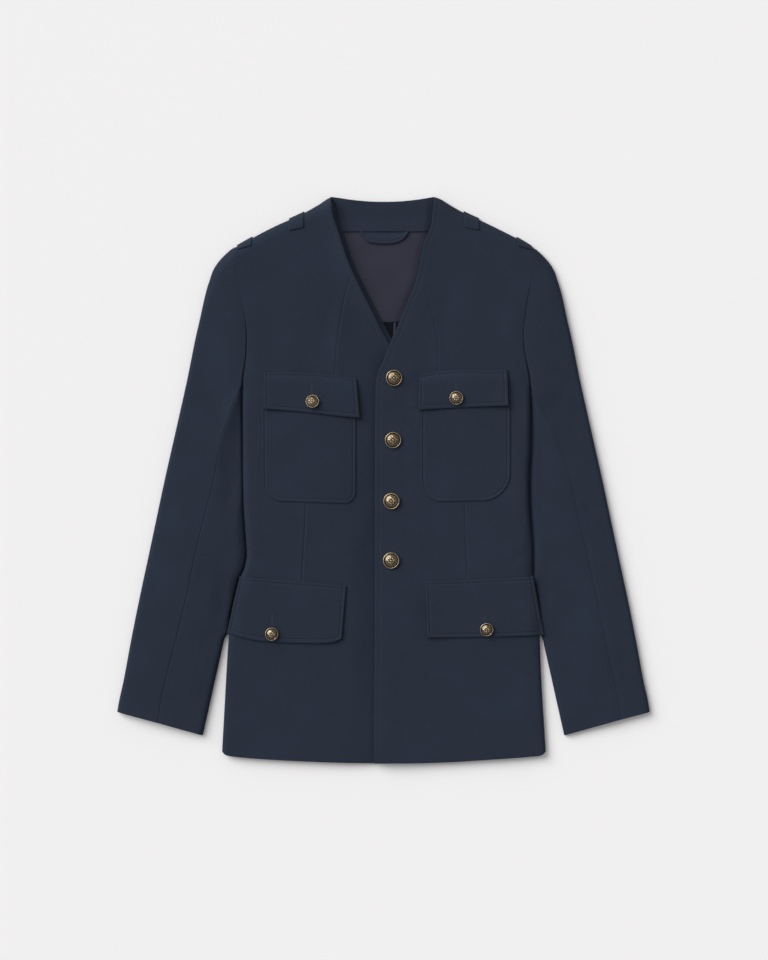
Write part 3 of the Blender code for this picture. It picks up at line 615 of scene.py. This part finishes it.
def front_grid(outline):
    """Points of a front, with columns that crowd at its edges and along its darts."""
    table = between(FRONT_ROWS, 3.3, SHOULDER_STEPS, TURNED_STEPS)
    start = np.stack([at_drop(outline.body_side, table[:, 0]), table[:, 0]], axis=1)
    start[0] = outline.shoulder[-1]
    end = np.stack([at_drop(outline.front, table[:, 1]), table[:, 1]], axis=1)
    length = line_lengths((start + end) / 2)
    down = (length / length[-1])[:, None]
    width = np.hypot(*(end - start).T)
    shares = np.linspace(0, 1, 240)[None, :] + 0 * down
    trial = patch(outline.shoulder[::-1], outline.hem, start, end, shares, down + 0 * shares)
    anchors = []
    for rows in DART_COLUMNS[outline.side]:
        miss = -outline.sign * (trial[..., 0] - at_drop(smooth_curve(rows), trial[..., 1]))
        anchors.append(np.array([np.interp(0, row, shares[0]) for row in miss]) * width)
    columns = segment(0 * width, anchors[0], SHOULDER_STEPS, CLUSTER_STEPS, 22)[:, :-1]
    columns = np.hstack([columns, segment(anchors[0], anchors[1], CLUSTER_STEPS, CLUSTER_STEPS, 7)[:, :-1]])
    columns = np.hstack([columns, segment(anchors[1], width, CLUSTER_STEPS, STITCHED_STEPS, 22)])
    across = columns / width[:, None]
    points = patch(outline.shoulder[::-1], outline.hem, start, end, across, down + 0 * across)
    return points[..., 0], points[..., 1]


def inset_front(outline, inset, first_drop, last_drop):
    """Line along a front's edge, a set distance inside it."""
    line = outline.front
    step = np.gradient(line, axis=0)
    inward = np.stack([-step[:, 1], step[:, 0]], axis=1) / np.hypot(*step.T)[:, None]
    if outline.side == "left":
        inward = -inward
    inner = line + inset * inward
    keep = (inner[:, 1] > first_drop) & (inner[:, 1] < last_drop)
    return inner[keep]


def make_front(outline):
    x, drop = front_grid(outline)
    stitch_line = inset_front(outline, STITCH_INSET, 6, 700)
    z = front_height(outline, x, drop) - groove(stitch_line, x, drop, 0.26, 0.9)
    name = f"front_{outline.side}"
    cloth(name, x, drop, z, CLOTH, "wool")
    stitch_row(f"edge_stitching_{outline.side}", [stitch_line], [name])


def make_top_sleeve(outline):
    """Top sleeve: from the armhole or seam over the outer fold and back along the underside."""
    sign = outline.sign
    rows = [list(row) for row in TOP_SLEEVE_ROWS]
    rows[-1][1] = CUFF_SEAM_DROP[outline.side]
    table = between(rows, 3.3, (0.8, 1.8), TURNED_STEPS)
    fold = np.stack([at_drop(outline.fold, table[:, 0]), table[:, 0]], axis=1)
    out = np.abs(at_drop(outline.ridge, table[:, 1])) + SEAM
    edge = np.stack([sign * out, table[:, 1]], axis=1)
    width = np.hypot(*(edge - fold).T)
    reach = np.minimum(4.0, 0.3 * width)
    points, heights = [], []
    for share in (1.0, 0.75, 0.5, 0.25):
        inset = reach + (np.maximum(width - SEAM_SHIFT, 1.3 * reach) - reach) * share
        points.append(fold + (edge - fold) * (inset / width)[:, None])
        heights.append(np.full(len(table), 0.05))
    for angle in np.radians([90, 72, 54, 36, 18]):
        inset = reach * (1 - math.cos(angle))
        points.append(fold + (edge - fold) * (inset / width)[:, None])
        heights.append(np.full(len(table), 0.05 + (SLEEVE_FOLD - 0.05) * (1 - math.sin(angle))))
    over = segment(0 * width, width, (0.12, 0.4, 0.9, 1.6, 2.6, 4.0, 5.6, 7.6, 10.0), SEAM_STEPS, 22)
    for column in over.T:
        place = fold + (edge - fold) * (column / width)[:, None]
        points.append(place)
        heights.append(sleeve_height(outline, place[:, 0], place[:, 1]))
    grid = np.stack(points, axis=1)
    cloth(f"sleeve_top_{outline.side}", grid[..., 0], grid[..., 1], np.stack(heights, axis=1), CLOTH, "wool")


def make_under_sleeve(outline):
    """Under sleeve: from the seam to the inner edge and back along the underside."""
    sign = outline.sign
    rows = [list(row) for row in UNDER_SLEEVE_ROWS]
    rows[-1][0] = CUFF_SEAM_DROP[outline.side]
    table = between(rows, 3.3, (0.8, 1.8), TURNED_STEPS)
    seam_out = np.abs(at_drop(outline.seam, table[:, 0])) - SEAM
    edge = np.stack([sign * seam_out, table[:, 0]], axis=1)
    inner = np.stack([sign * outline.inner_out(table[:, 1]), table[:, 1]], axis=1)
    width = np.hypot(*(edge - inner).T)
    reach = np.minimum(3.0, 0.3 * width)
    low = sleeve_height(outline, inner[:, 0], inner[:, 1])
    points, heights = [], []
    for share in (1.0, 0.75, 0.5, 0.25):
        out_to = (width + SEAM_SHIFT - 1.2) / width * share
        points.append(inner + (edge - inner) * out_to[:, None])
        heights.append(np.full(len(table), 0.05))
    for angle in np.radians([90, 70, 50, 30, 12]):
        inset = reach * (1 - math.cos(angle))
        points.append(inner + (edge - inner) * (inset / width)[:, None])
        heights.append(0.05 + (low - 0.05) * (1 - math.sin(angle)))
    over = segment(0 * width, width, (0.15, 0.5, 1.0, 1.8, 3.0, 4.6), SEAM_STEPS, 12)
    for column in over.T:
        place = inner + (edge - inner) * (column / width)[:, None]
        points.append(place)
        heights.append(sleeve_height(outline, place[:, 0], place[:, 1]))
    grid = np.stack(points, axis=1)
    cloth(f"sleeve_under_{outline.side}", grid[..., 0], grid[..., 1], np.stack(heights, axis=1), CLOTH, "wool")


def make_seam_tape(outline):
    """Narrow tape inside, under the armhole seam and the sleeve's front seam."""
    last = CUFF_SEAM_DROP[outline.side] - 2
    drops = np.linspace(66, last, 190)
    middle = at_drop(outline.ridge, drops)
    x = middle[:, None] + np.array([[-4.5, -2.2, 0.0, 2.2, 4.5]])
    drop = drops[:, None] + 0 * x
    inside = np.abs(x) < outline.side_out(drop)
    surface = np.where(inside, front_height(outline, x, drop), sleeve_height(outline, x, drop))
    z = surface - np.minimum(2.4, 0.5 * surface)
    item = new_object(f"seam_tape_{outline.side}", world_points(x, drop, z), quads(*x.shape), "wool")
    wall = item.modifiers.new("wall", "SOLIDIFY")
    wall.thickness = 0.3 * MM
    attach(item, "root")


def make_pocket(outline):
    """Patch pocket with round lower corners, a little full, stitched round its edge."""
    inner, outer, top, bottom, inner_radius, outer_radius, fall = CHEST_POCKET[outline.side]
    sign = outline.sign
    turn = np.radians(np.linspace(0, 90, 16))
    longest = max(inner_radius, outer_radius)
    straight = spaced(bottom - longest - top, 3.0, TURNED_STEPS, ())[:-1] + top
    drops = np.concatenate([straight, bottom - longest + longest * np.sin(turn)])
    start = inner + sign * corner_inset(drops, bottom, inner_radius)
    end = outer - sign * corner_inset(drops, bottom, outer_radius)
    width = np.abs(end - start)
    across = segment(0 * width, width, STITCHED_STEPS, STITCHED_STEPS, 30) / width[:, None]
    x = start[:, None] + (end - start)[:, None] * across
    drop = drops[:, None] + pocket_fall(outline, x, drops[:, None])
    rim = np.vstack([np.stack([x[:, 0], drop[:, 0]], axis=1), np.stack([x[-1], drop[-1]], axis=1),
                     np.stack([x[::-1, -1], drop[::-1, -1]], axis=1)])
    gap = distance_to(thinned(rim), x, drop)
    full = 0.5 * smooth_step(gap, 6, 26)
    z = front_base(outline, x, drop) + REST + 0.2 + PATCH + full - edge_round(gap, 1.4, 0.6)
    z = z - 0.7 * np.exp(-((gap - 3.5) / 0.85) ** 2)
    name = f"chest_pocket_{outline.side}"
    cloth(name, x, drop, z, PATCH, "wool")
    inset = 3.5
    down = np.linspace(top + 4, bottom - inset, 80)
    sides = []
    for edge, radius, inward in ((inner, inner_radius, sign), (outer, outer_radius, -sign)):
        place = edge + inward * (inset + corner_inset(down, bottom - inset, radius - inset))
        sides.append(np.stack([place, down + pocket_fall(outline, place, down)], axis=1))
    stitch_row(f"pocket_stitching_{outline.side}", [np.vstack([sides[0], sides[1][::-1]])], [name])


def corner_inset(drops, bottom, radius):
    """How far a pocket's edge lies inside its straight side, round a lower corner."""
    into = np.clip(drops - (bottom - radius), 0, radius)
    return radius - np.sqrt(radius ** 2 - into ** 2)


def pocket_fall(outline, x, drop):
    """The lower edge slants down towards the centre."""
    inner, outer, top, bottom, _, _, fall = CHEST_POCKET[outline.side]
    return fall * smooth_step(drop, top + 60, bottom) * (0.5 - (x - inner) / (outer - inner))


def thinned(line, count=160):
    return along(line, np.linspace(0, 1, count))


def flap_points(table):
    """Grid of a flap with fine edges, and its shares across and down."""
    top, bottom = smooth_curve(table["top"]), smooth_curve(table["bottom"])
    wide, deep = line_lengths(bottom)[-1], np.hypot(*(bottom[0] - top[0]))
    across = spaced(wide, 2.8, STITCHED_STEPS, STITCHED_STEPS) / wide
    down = spaced(deep, 2.8, STITCHED_STEPS, STITCHED_STEPS) / deep
    start = top[0] + (bottom[0] - top[0]) * down[:, None]
    end = top[-1] + (bottom[-1] - top[-1]) * down[:, None]
    u = across[None, :] + 0 * down[:, None]
    v = down[:, None] + 0 * u
    points = patch(top, bottom, start, end, u, v)
    border = np.vstack([points[:, 0], points[-1], points[::-1, -1], points[0, ::-1]])
    gap = distance_to(thinned(border, 240), points[..., 0], points[..., 1])
    return points, u, v, gap


def flap_stitches(points, u, v, inset=4.3):
    """Lines of stitching inside a flap's ends and lower edge, and along its sewn top."""
    wide = np.hypot(*(points[-1, -1] - points[-1, 0]))
    deep = np.hypot(*(points[-1, 0] - points[0, 0]))
    columns = points.shape[1]
    first = int(np.argmin(np.abs(u[0] * wide - inset)))
    last = columns - 1 - int(np.argmin(np.abs((1 - u[0, ::-1]) * wide - inset)))
    low = int(np.argmin(np.abs((1 - v[:, 0]) * deep - inset)))
    high = int(np.argmin(np.abs(v[:, 0] * deep - inset)))
    round_edge = np.vstack([points[1:low, first], points[low, first:last + 1], points[1:low, last][::-1]])
    return [round_edge, points[high, 1:-1]]


def make_flap(outline, place, table):
    """Pocket flap, sewn along its top, its lower corners lifted as they show."""
    points, u, v, gap = flap_points(table)
    x, drop = points[..., 0], points[..., 1]
    inner_lift, outer_lift = FLAP_LIFT[f"{place}_{outline.side}"]
    lift = v ** 1.6 * (inner_lift * np.clip(1 - 2 * u, 0, 1) ** 1.5 + outer_lift * np.clip(2 * u - 1, 0, 1) ** 1.5)
    if place == "chest":
        base = front_base(outline, x, drop) + (PATCH + 0.9) * smooth_step(v, 0.02, 0.28)
    else:
        past_side = np.abs(x) - np.abs(at_drop(outline.flank, drop))
        level = front_level(outline.side, x) - hem_fall(drop) + folds(FOLDS[outline.side], x, drop)
        if outline.side == "right":
            droop = 3.4 * smooth_step(past_side, -18, 7)
        else:
            droop = 3.2 * np.clip((np.abs(x) - 177) / 17, 0, 1.15) ** 2
        base = level + ripple(x, drop, 0.4 + outline.sign) - droop
    z = base + REST + 0.35 + FLAP + lift - edge_round(gap, 1.3, 0.8)
    z = z + 0.25 * np.sin(math.pi * v) * np.sin(math.pi * u) + ripple(x * 1.3, drop, 3.3 + outline.sign)
    lines = flap_stitches(points, u, v)
    for line in lines:
        z = z - groove(thinned(line, 60), x, drop, 0.6, 0.85)
    name = f"{place}_flap_{outline.side}"
    cloth(name, x, drop, z, FLAP, "wool")
    stitch_row(f"{place}_flap_stitching_{outline.side}", lines, [name])


def make_buttonhole(flap, x, first, last):
    """Two close rows of upright stitches along a slit above the button."""
    edges = [np.array([(x + off, first), (x + off, last)]) for off in (-0.55, 0.55)]
    stitch_row(flap + "_buttonhole", edges, [flap], pitch=0.8, length=0.85, half_width=0.5, rise=0.35)


def make_loop(name, outline, x_middle, length):
    """Narrow loop that lies on the front and turns down over the shoulder's edge."""
    across = np.concatenate([[0], [0.02, 0.05, 0.09], np.linspace(0.15, 0.85, 8), [0.91, 0.95, 0.98, 1]])
    x = x_middle + LOOP_WIDTH * (across[None, :] - 0.5)
    edge = np.interp(np.abs(x), np.abs(outline.shoulder[:, 0]), outline.shoulder[:, 1])
    share = np.concatenate([[1.0, 0.975, 0.94], np.linspace(0.86, 0.14, 9), [0.08, 0.035, 0.0]])[:, None]
    end = length + 0.55 * (edge[:, :1] + edge[:, -1:]) / 2 + 0.45 * edge
    on_front = edge + (end - edge) * share
    z = front_base(outline, x + 0 * on_front, on_front) + REST + LOOP_THICK
    turn = np.radians(np.array([12, 26, 40, 54, 68, 80, 90]))[:, None]
    past = edge - LOOP_PROUD * np.sin(turn)
    drop = np.vstack([on_front, past])
    z = np.vstack([z, 0.3 + (z[-1:] - 0.3) * np.cos(turn)])
    z = z - 0.5 * (1 - roll(np.minimum(across, 1 - across) * LOOP_WIDTH / 1.2))[None, :]
    cloth(f"shoulder_loop_{name}", x + 0 * drop, drop, z, LOOP_THICK, "wool")


def make_back(lines):
    """Back with its lining, flat where it rests, with its seams pressed in underneath."""
    right, left = lines["right"], lines["left"]
    neck = smooth_curve([(-65.5, -0.5), (-54.4, 0.9), (-45, 2.4), (-20, 5.0), (0, 5.6), (20, 5.1), (43, 2.8),
                         (52, 1.4), (63, -0.5)])
    top = np.vstack([right.shoulder[::-1][:-1], neck[:-1], left.shoulder])
    bottom = np.vstack([right.hem[right.hem[:, 0] < 0], left.hem[left.hem[:, 0] > 12][::-1]])
    count = 150
    drops = spaced(630.5, 4.5, TURNED_STEPS, TURNED_STEPS) + 62.5
    start = np.stack([at_drop(right.body_side, drops) + 1.3, drops], axis=1)
    end = np.stack([at_drop(left.body_side, drops) - 1.3, drops], axis=1)
    start[0], end[0] = top[0], top[-1]
    start[-1], end[-1] = bottom[0], bottom[-1]
    down = ((drops - 62.5) / 630.5)[:, None]
    across = np.linspace(0, 1, count)[None, :] + 0 * down
    points = patch(top, bottom, start, end, across, down + 0 * across)
    x, drop = points[..., 0], points[..., 1]
    edge_gap = np.minimum(distance_to(right.body_side, x, drop), distance_to(left.body_side, x, drop))
    z = BACK_TOP - 0.9 * (1 - roll(edge_gap / 2.5))
    cloth("back", x, drop, z, BACK_TOP - 0.1, "wool")


def make_inside_back(lines):
    """Facing, yoke and lining that show in the neck, and the hanger loop over their seam."""
    def band(name, top, bottom, level, material, top_line=None, wrinkle=0.5):
        drops = spaced(bottom - top, 1.8, TURNED_STEPS[:3], TURNED_STEPS[:3]) + top
        tuck = -1.0 + 8.0 * smooth_step(drops, 16, 42)
        start = np.stack([at_drop(lines["right"].front, drops) - tuck, drops], axis=1)
        end = np.stack([at_drop(lines["left"].front, drops) - 1.2, drops], axis=1)
        down = ((drops - top) / (bottom - top))[:, None]
        upper = np.vstack([start[0], end[0]]) if top_line is None else np.vstack([start[:1], top_line, end[:1]])
        lower = np.vstack([start[-1], end[-1]])
        across = np.linspace(0, 1, 90)[None, :] + 0 * down
        points = patch(upper, lower, start, end, across, down + 0 * across)
        x, drop = points[..., 0], points[..., 1]
        wave = np.sin(x / 9 + drop / 31) * np.sin(drop / 13 - x / 47) + 0.7 * np.sin(x / 17 - drop / 11)
        z = level + wrinkle * wave * 0.35
        dip = 0.8
        if material == "wool":
            dip = 1.5
            z = z + 1.2 * smooth_step(drop, 24, 41) - 1.4 * (1 - roll((drop - drops[0]) / 9))
            z = z - 0.4 * np.exp(-((drop - FACING_DROP + 5) / 0.85) ** 2) - edge_round(drops[-1] - drop)
        z = z - dip * np.exp(-((at_drop(lines["left"].front, drop) - x) / 5) ** 2)
        cloth(name, x, drop, np.maximum(z, BACK_TOP + 0.3), 0.6, material)

    facing_top = smooth_curve([(-54.4, 1.4), (-45, 2.9), (-20, 5.5), (0, 6.1), (20, 5.6), (43, 3.3), (52, 1.9)])
    band("back_neck_facing", 0.8, FACING_DROP, 3.9, "wool", facing_top, 0.3)
    band("lining_yoke", FACING_DROP - 1.5, YOKE_DROP, 3.4, "lining", None, 0.7)
    band("lining_lower", YOKE_DROP - 1.0, LOWER_DROP, 3.1, "satin", None, 0.5)
    make_pleat()
    across = np.linspace(0, 1, 60)
    lower = along(smooth_curve([(-29.5, 43.4), (-25.5, 50), (-21, 55.4), (-12, 57.9), (3, 58.7), (14, 57.7),
                                (22.5, 54.6), (28, 49.5), (31.3, 43.6)]), across)
    upper = along(np.array([(-29.0, 41.6), (30.8, 41.9)]), across)
    wide = np.concatenate([np.linspace(0, 0.5, 6), np.linspace(0.56, 1, 14)])[:, None, None]
    points = upper + (lower - upper) * wide
    gap = distance_to(lower, points[..., 0], points[..., 1])
    z = 3.7 + 2.6 * smooth_step(wide[..., 0], 0.06, 0.75) - edge_round(gap, 1.2, 0.6)
    z = z - 0.45 * np.exp(-((gap - 3.6) / 0.8) ** 2)
    cloth("hanger_loop", points[..., 0], points[..., 1], z, 0.9, "wool")


def make_pleat():
    """Edge of the pleat in the middle of the lining, given the lighter lining colour as a painted highlight of the
    satin's sheen where it catches the light.
    """
    drops = np.linspace(YOKE_DROP + 1, LOWER_DROP - 2, 14)[:, None]
    across = np.linspace(-1, 1, 9)[None, :]
    x = 14.4 + 1.9 * across - (drops - 165) * 0.03
    z = 4.2 + 1.0 * np.sqrt(1 - 0.98 * across ** 2) + 0 * drops
    drop = drops + 0 * x
    # the lighter lining colour on this strip is a painted highlight of the satin's sheen
    item = new_object("lining_pleat", world_points(x, drop, z), quads(*x.shape)[:, ::-1], "lining")
    wall = item.modifiers.new("wall", "SOLIDIFY")
    wall.thickness = 0.3 * MM
    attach(item, "root")


def make_neck_facing(outline, widths, drops):
    """Turned-in facing of the front's edge, which slopes down inside the neck."""
    line = outline.front
    step = np.gradient(line, axis=0)
    out = np.stack([step[:, 1], -step[:, 0]], axis=1) / np.hypot(*step.T)[:, None]
    out = out * (1 if outline.side == "right" else -1)
    keep = (line[:, 1] > drops[0]) & (line[:, 1] < drops[1])
    line, out = along(line[keep], np.linspace(0, 1, 80)), along(out[keep], np.linspace(0, 1, 80))
    reach = np.interp(line[:, 1], (drops[0], drops[1]), widths)[:, None]
    share = np.linspace(-0.6 if widths[0] > 0 else 0.1, 1.0, 8)[None, :]
    x = line[:, :1] + out[:, :1] * reach * share
    drop = line[:, 1:] + out[:, 1:] * reach * share
    edge = front_height(outline, line[:, 0], line[:, 1])[:, None] - CLOTH - 0.1
    z = edge - (edge - 4.0) * np.clip(share + 0.2, 0, 1.2) / 1.2
    item = new_object(f"neck_facing_{outline.side}", world_points(x, drop, z), quads(*x.shape), "wool")
    wall = item.modifiers.new("wall", "SOLIDIFY")
    wall.thickness = 0.5 * MM
    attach(item, "root")


def button_relief(share, turn, rim):
    """Height of a button's face: dome, raised device of leaves, and a roped rim."""
    dome = 1.5 + 3.6 * np.sqrt(np.clip(1 - (share / 0.79) ** 2, 0, 1))
    leaf = np.clip(np.cos(turn * 4), 0, 1) ** 0.8 * smooth_step(share, 0.14, 0.3) * (1 - smooth_step(share, 0.52, 0.62))
    small = np.clip(np.cos(turn * 4 + math.pi), 0, 1) * smooth_step(share, 0.2, 0.3)
    small = small * (1 - smooth_step(share, 0.36, 0.46))
    knob = 1 - smooth_step(share, 0.07, 0.14)
    bead = np.exp(-((share - 0.65) / 0.035) ** 2) * (0.6 + 0.4 * np.cos(turn * 30))
    z = dome + 0.55 * leaf + 0.4 * small + 0.5 * knob + 0.3 * bead
    rope = np.sqrt(np.clip(1 - ((share - 0.91) / 0.09) ** 2, 0, 1))
    edge = 1.4 + rim * rope + 0.15 * rope * np.cos(turn * 34 + (share - 0.91) * 40)
    blend = smooth_step(share, 0.75, 0.79)
    return z * (1 - blend) + edge * blend


def make_button(name, x, drop, radius, tilt, toward):
    """Domed shank button, turned from its profile and pressed with a plain device."""
    steps = 136
    turn = np.linspace(0, 2 * math.pi, steps, endpoint=False)[None, :]
    share = np.concatenate([np.linspace(0.02, 0.74, 22), np.linspace(0.76, 1.0, 15)])[:, None]
    face_z = button_relief(share, turn, 1.1)
    ring_r = [radius * share + 0 * turn]
    ring_z = [face_z]
    for r, z in ((1.0, 1.4), (0.99, 0.9), (0.95, 0.45), (0.84, 0.2), (0.5, 0.1), (0.22, 0.1), (0.2, -1.3)):
        ring_r.append(np.full((1, steps), r * radius))
        ring_z.append(np.full((1, steps), z))
    r, z = np.vstack(ring_r), np.vstack(ring_z)
    places = np.stack([r * np.cos(turn), r * np.sin(turn), z], axis=-1).reshape(-1, 3) * MM
    rings = len(r)
    faces = []
    for ring in range(rings - 1):
        for k in range(steps):
            a = ring * steps + k
            b = ring * steps + (k + 1) % steps
            faces.append((a, a + steps, b + steps, b))
    centre = len(places)
    places = np.vstack([places, [[0, 0, float(face_z[0].mean()) * MM]], [[0, 0, -1.3 * MM]]])
    for k in range(steps):
        faces.append((centre, k, (k + 1) % steps))
        last = (rings - 1) * steps
        faces.append((centre + 1, last + (k + 1) % steps, last + k))
    item = new_object(name + "_metal", places, faces, "brass")
    carrier = height_on(list(SURFACE), x, drop)
    item.location = (x * MM, (ORIGIN_DROP - drop) * MM, (carrier + 1.35) * MM)
    angle = math.radians(toward)
    item.rotation_mode = "AXIS_ANGLE"
    item.rotation_axis_angle = (math.radians(tilt), math.sin(angle), -math.cos(angle), 0)
    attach(item, "root")
    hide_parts(name)


def shader(name, colour, roughness):
    material = bpy.data.materials.new(name)
    material.use_nodes = True
    tree = material.node_tree
    surface = tree.nodes["Principled BSDF"]
    surface.inputs["Base Color"].default_value = (*colour, 1)
    surface.inputs["Roughness"].default_value = roughness
    return material, tree, surface


def mottled(tree, surface, dark, light, scale, bump, distance):
    """Two shades mixed by noise in object space, and the same noise as a fine bump."""
    where = tree.nodes.new("ShaderNodeTexCoord")
    broad = tree.nodes.new("ShaderNodeTexNoise")
    broad.inputs["Scale"].default_value = 22
    broad.inputs["Detail"].default_value = 3
    fine = tree.nodes.new("ShaderNodeTexNoise")
    fine.inputs["Scale"].default_value = scale
    fine.inputs["Detail"].default_value = 4
    fine.inputs["Roughness"].default_value = 0.7
    blend = tree.nodes.new("ShaderNodeMath")
    blend.operation = "MULTIPLY_ADD"
    blend.inputs[1].default_value = 0.75
    half = tree.nodes.new("ShaderNodeMath")
    half.operation = "MULTIPLY"
    half.inputs[1].default_value = 0.25
    ramp = tree.nodes.new("ShaderNodeValToRGB")
    ramp.color_ramp.elements[0].position = 0.38
    ramp.color_ramp.elements[0].color = (*dark, 1)
    ramp.color_ramp.elements[1].position = 0.62
    ramp.color_ramp.elements[1].color = (*light, 1)
    relief = tree.nodes.new("ShaderNodeBump")
    relief.inputs["Strength"].default_value = bump
    relief.inputs["Distance"].default_value = distance
    links = tree.links
    links.new(where.outputs["Object"], broad.inputs["Vector"])
    links.new(where.outputs["Object"], fine.inputs["Vector"])
    links.new(broad.outputs["Fac"], half.inputs[0])
    links.new(fine.outputs["Fac"], blend.inputs[0])
    links.new(half.outputs["Value"], blend.inputs[2])
    links.new(blend.outputs["Value"], ramp.inputs["Fac"])
    links.new(ramp.outputs["Color"], surface.inputs["Base Color"])
    links.new(fine.outputs["Fac"], relief.inputs["Height"])
    links.new(relief.outputs["Normal"], surface.inputs["Normal"])


def make_materials():
    wool, tree, surface = shader("wool_cloth", (0.024, 0.031, 0.043), 0.85)
    surface.inputs["Sheen Weight"].default_value = 0.10
    surface.inputs["Sheen Roughness"].default_value = 0.28
    surface.inputs["Specular IOR Level"].default_value = 0.12
    mottled(tree, surface, (0.0145, 0.0207, 0.0335), (0.0203, 0.0280, 0.0463), 900, 0.35, 0.0004)
    lining, tree, surface = shader("lining_cloth", (0.03, 0.031, 0.047), 0.55)
    surface.inputs["Specular IOR Level"].default_value = 0.12
    mottled(tree, surface, (0.022, 0.023, 0.037), (0.029, 0.030, 0.047), 1500, 0.15, 0.0002)
    satin, tree, surface = shader("satin_cloth", (0.004, 0.005, 0.009), 0.6)
    surface.inputs["Specular IOR Level"].default_value = 0.06
    mottled(tree, surface, (0.003, 0.004, 0.008), (0.005, 0.006, 0.012), 1500, 0.1, 0.0002)
    thread, tree, surface = shader("sewing_thread", (0.028, 0.035, 0.047), 0.7)
    surface.inputs["Specular IOR Level"].default_value = 0.3
    # the brass colour carries painted shade in the button's hollows and a painted highlight on its raised parts
    brass, tree, surface = shader("brass_painted_shade_and_highlight", (0.31, 0.24, 0.15), 0.29)
    surface.inputs["Metallic"].default_value = 1.0
    painted_shade_and_highlight(tree, surface)
    return {"wool": wool, "lining": lining, "satin": satin, "thread": thread, "brass": brass}


def painted_shade_and_highlight(tree, surface):
    """Painted shade in the hollows and a painted highlight on what stands out, set by the mesh's pointiness."""
    form = tree.nodes.new("ShaderNodeNewGeometry")
    ramp = tree.nodes.new("ShaderNodeValToRGB")
    # the near-black end is painted shade, the bright end a painted highlight
    ramp.color_ramp.elements[0].position = 0.47
    ramp.color_ramp.elements[0].color = (0.010, 0.008, 0.006, 1)
    ramp.color_ramp.elements[1].position = 0.55
    ramp.color_ramp.elements[1].color = (0.60, 0.50, 0.36, 1)
    middle = ramp.color_ramp.elements.new(0.5)
    middle.color = (0.14, 0.106, 0.066, 1)
    tree.links.new(form.outputs["Pointiness"], ramp.inputs["Fac"])
    tree.links.new(ramp.outputs["Color"], surface.inputs["Base Color"])


def make_camera():
    camera = bpy.data.cameras.new("camera")
    camera.lens = 85
    camera.sensor_width = 36
    camera.dof.use_dof = False
    item = bpy.data.objects.new("camera", camera)
    item.location = (0.0006, 0.0009, 2.839)
    bpy.context.scene.collection.objects.link(item)
    bpy.context.scene.camera = item


def make_light():
    sun = bpy.data.lights.new("window_side", "SUN")
    sun.energy = 2.85
    sun.angle = math.radians(44)
    item = bpy.data.objects.new("window_side", sun)
    item.rotation_euler = Vector((0.637, -0.498, -0.60)).to_track_quat("-Z", "Y").to_euler()
    bpy.context.scene.collection.objects.link(item)
    world = bpy.data.worlds.new("room")
    world.use_nodes = True
    tree = world.node_tree
    sky = tree.nodes["Background"]
    sky.inputs["Strength"].default_value = 0.66
    where = tree.nodes.new("ShaderNodeTexCoord")
    toward = tree.nodes.new("ShaderNodeVectorMath")
    toward.operation = "DOT_PRODUCT"
    toward.inputs[1].default_value = (-0.58, 0.46, 0.67)
    ramp = tree.nodes.new("ShaderNodeValToRGB")
    ramp.color_ramp.elements[0].position = 0.0
    ramp.color_ramp.elements[0].color = (0.52, 0.52, 0.525, 1)
    ramp.color_ramp.elements[1].position = 0.85
    ramp.color_ramp.elements[1].color = (1.0, 0.995, 1.0, 1)
    tree.links.new(where.outputs["Generated"], toward.inputs[0])
    tree.links.new(toward.outputs["Value"], ramp.inputs["Fac"])
    tree.links.new(ramp.outputs["Color"], sky.inputs["Color"])
    bpy.context.scene.world = world
    bpy.context.scene.view_settings.view_transform = "Standard"


def make_floor():
    floor = new_object("stage_floor", [(-3, -3, -0.0004), (3, -3, -0.0004), (3, 3, -0.0004), (-3, 3, -0.0004)],
                       [(0, 1, 2, 3)], "paper")


make_camera()
SURFACE = {}
MEASURED = {}
MATERIAL = make_materials()
MATERIAL["paper"] = shader("white_floor", (0.83, 0.82, 0.825), 0.9)[0]
make_floor()
make_light()
LINES = {side: Outline(side) for side in SIGN}
make_back(LINES)
make_inside_back(LINES)
for line in LINES.values():
    make_front(line)
    make_top_sleeve(line)
    make_under_sleeve(line)
    make_seam_tape(line)
    make_neck_facing(line, *NECK_FACING[line.side])
    make_pocket(line)
    make_flap(line, "chest", CHEST_FLAP[line.side])
    make_flap(line, "hip", HIP_FLAP[line.side])
for name, (x_middle, length) in SHOULDER_LOOP.items():
    make_loop(name, LINES[name.split("_")[0]], x_middle, length)
for name, values in BUTTONHOLES.items():
    make_buttonhole(name, *values)
for name, values in BUTTONS.items():
    make_button(name, *values)
for name, area in MEASURED.items():
    print("AREA", name, round(area, 5))
bpy.context.view_layer.update()
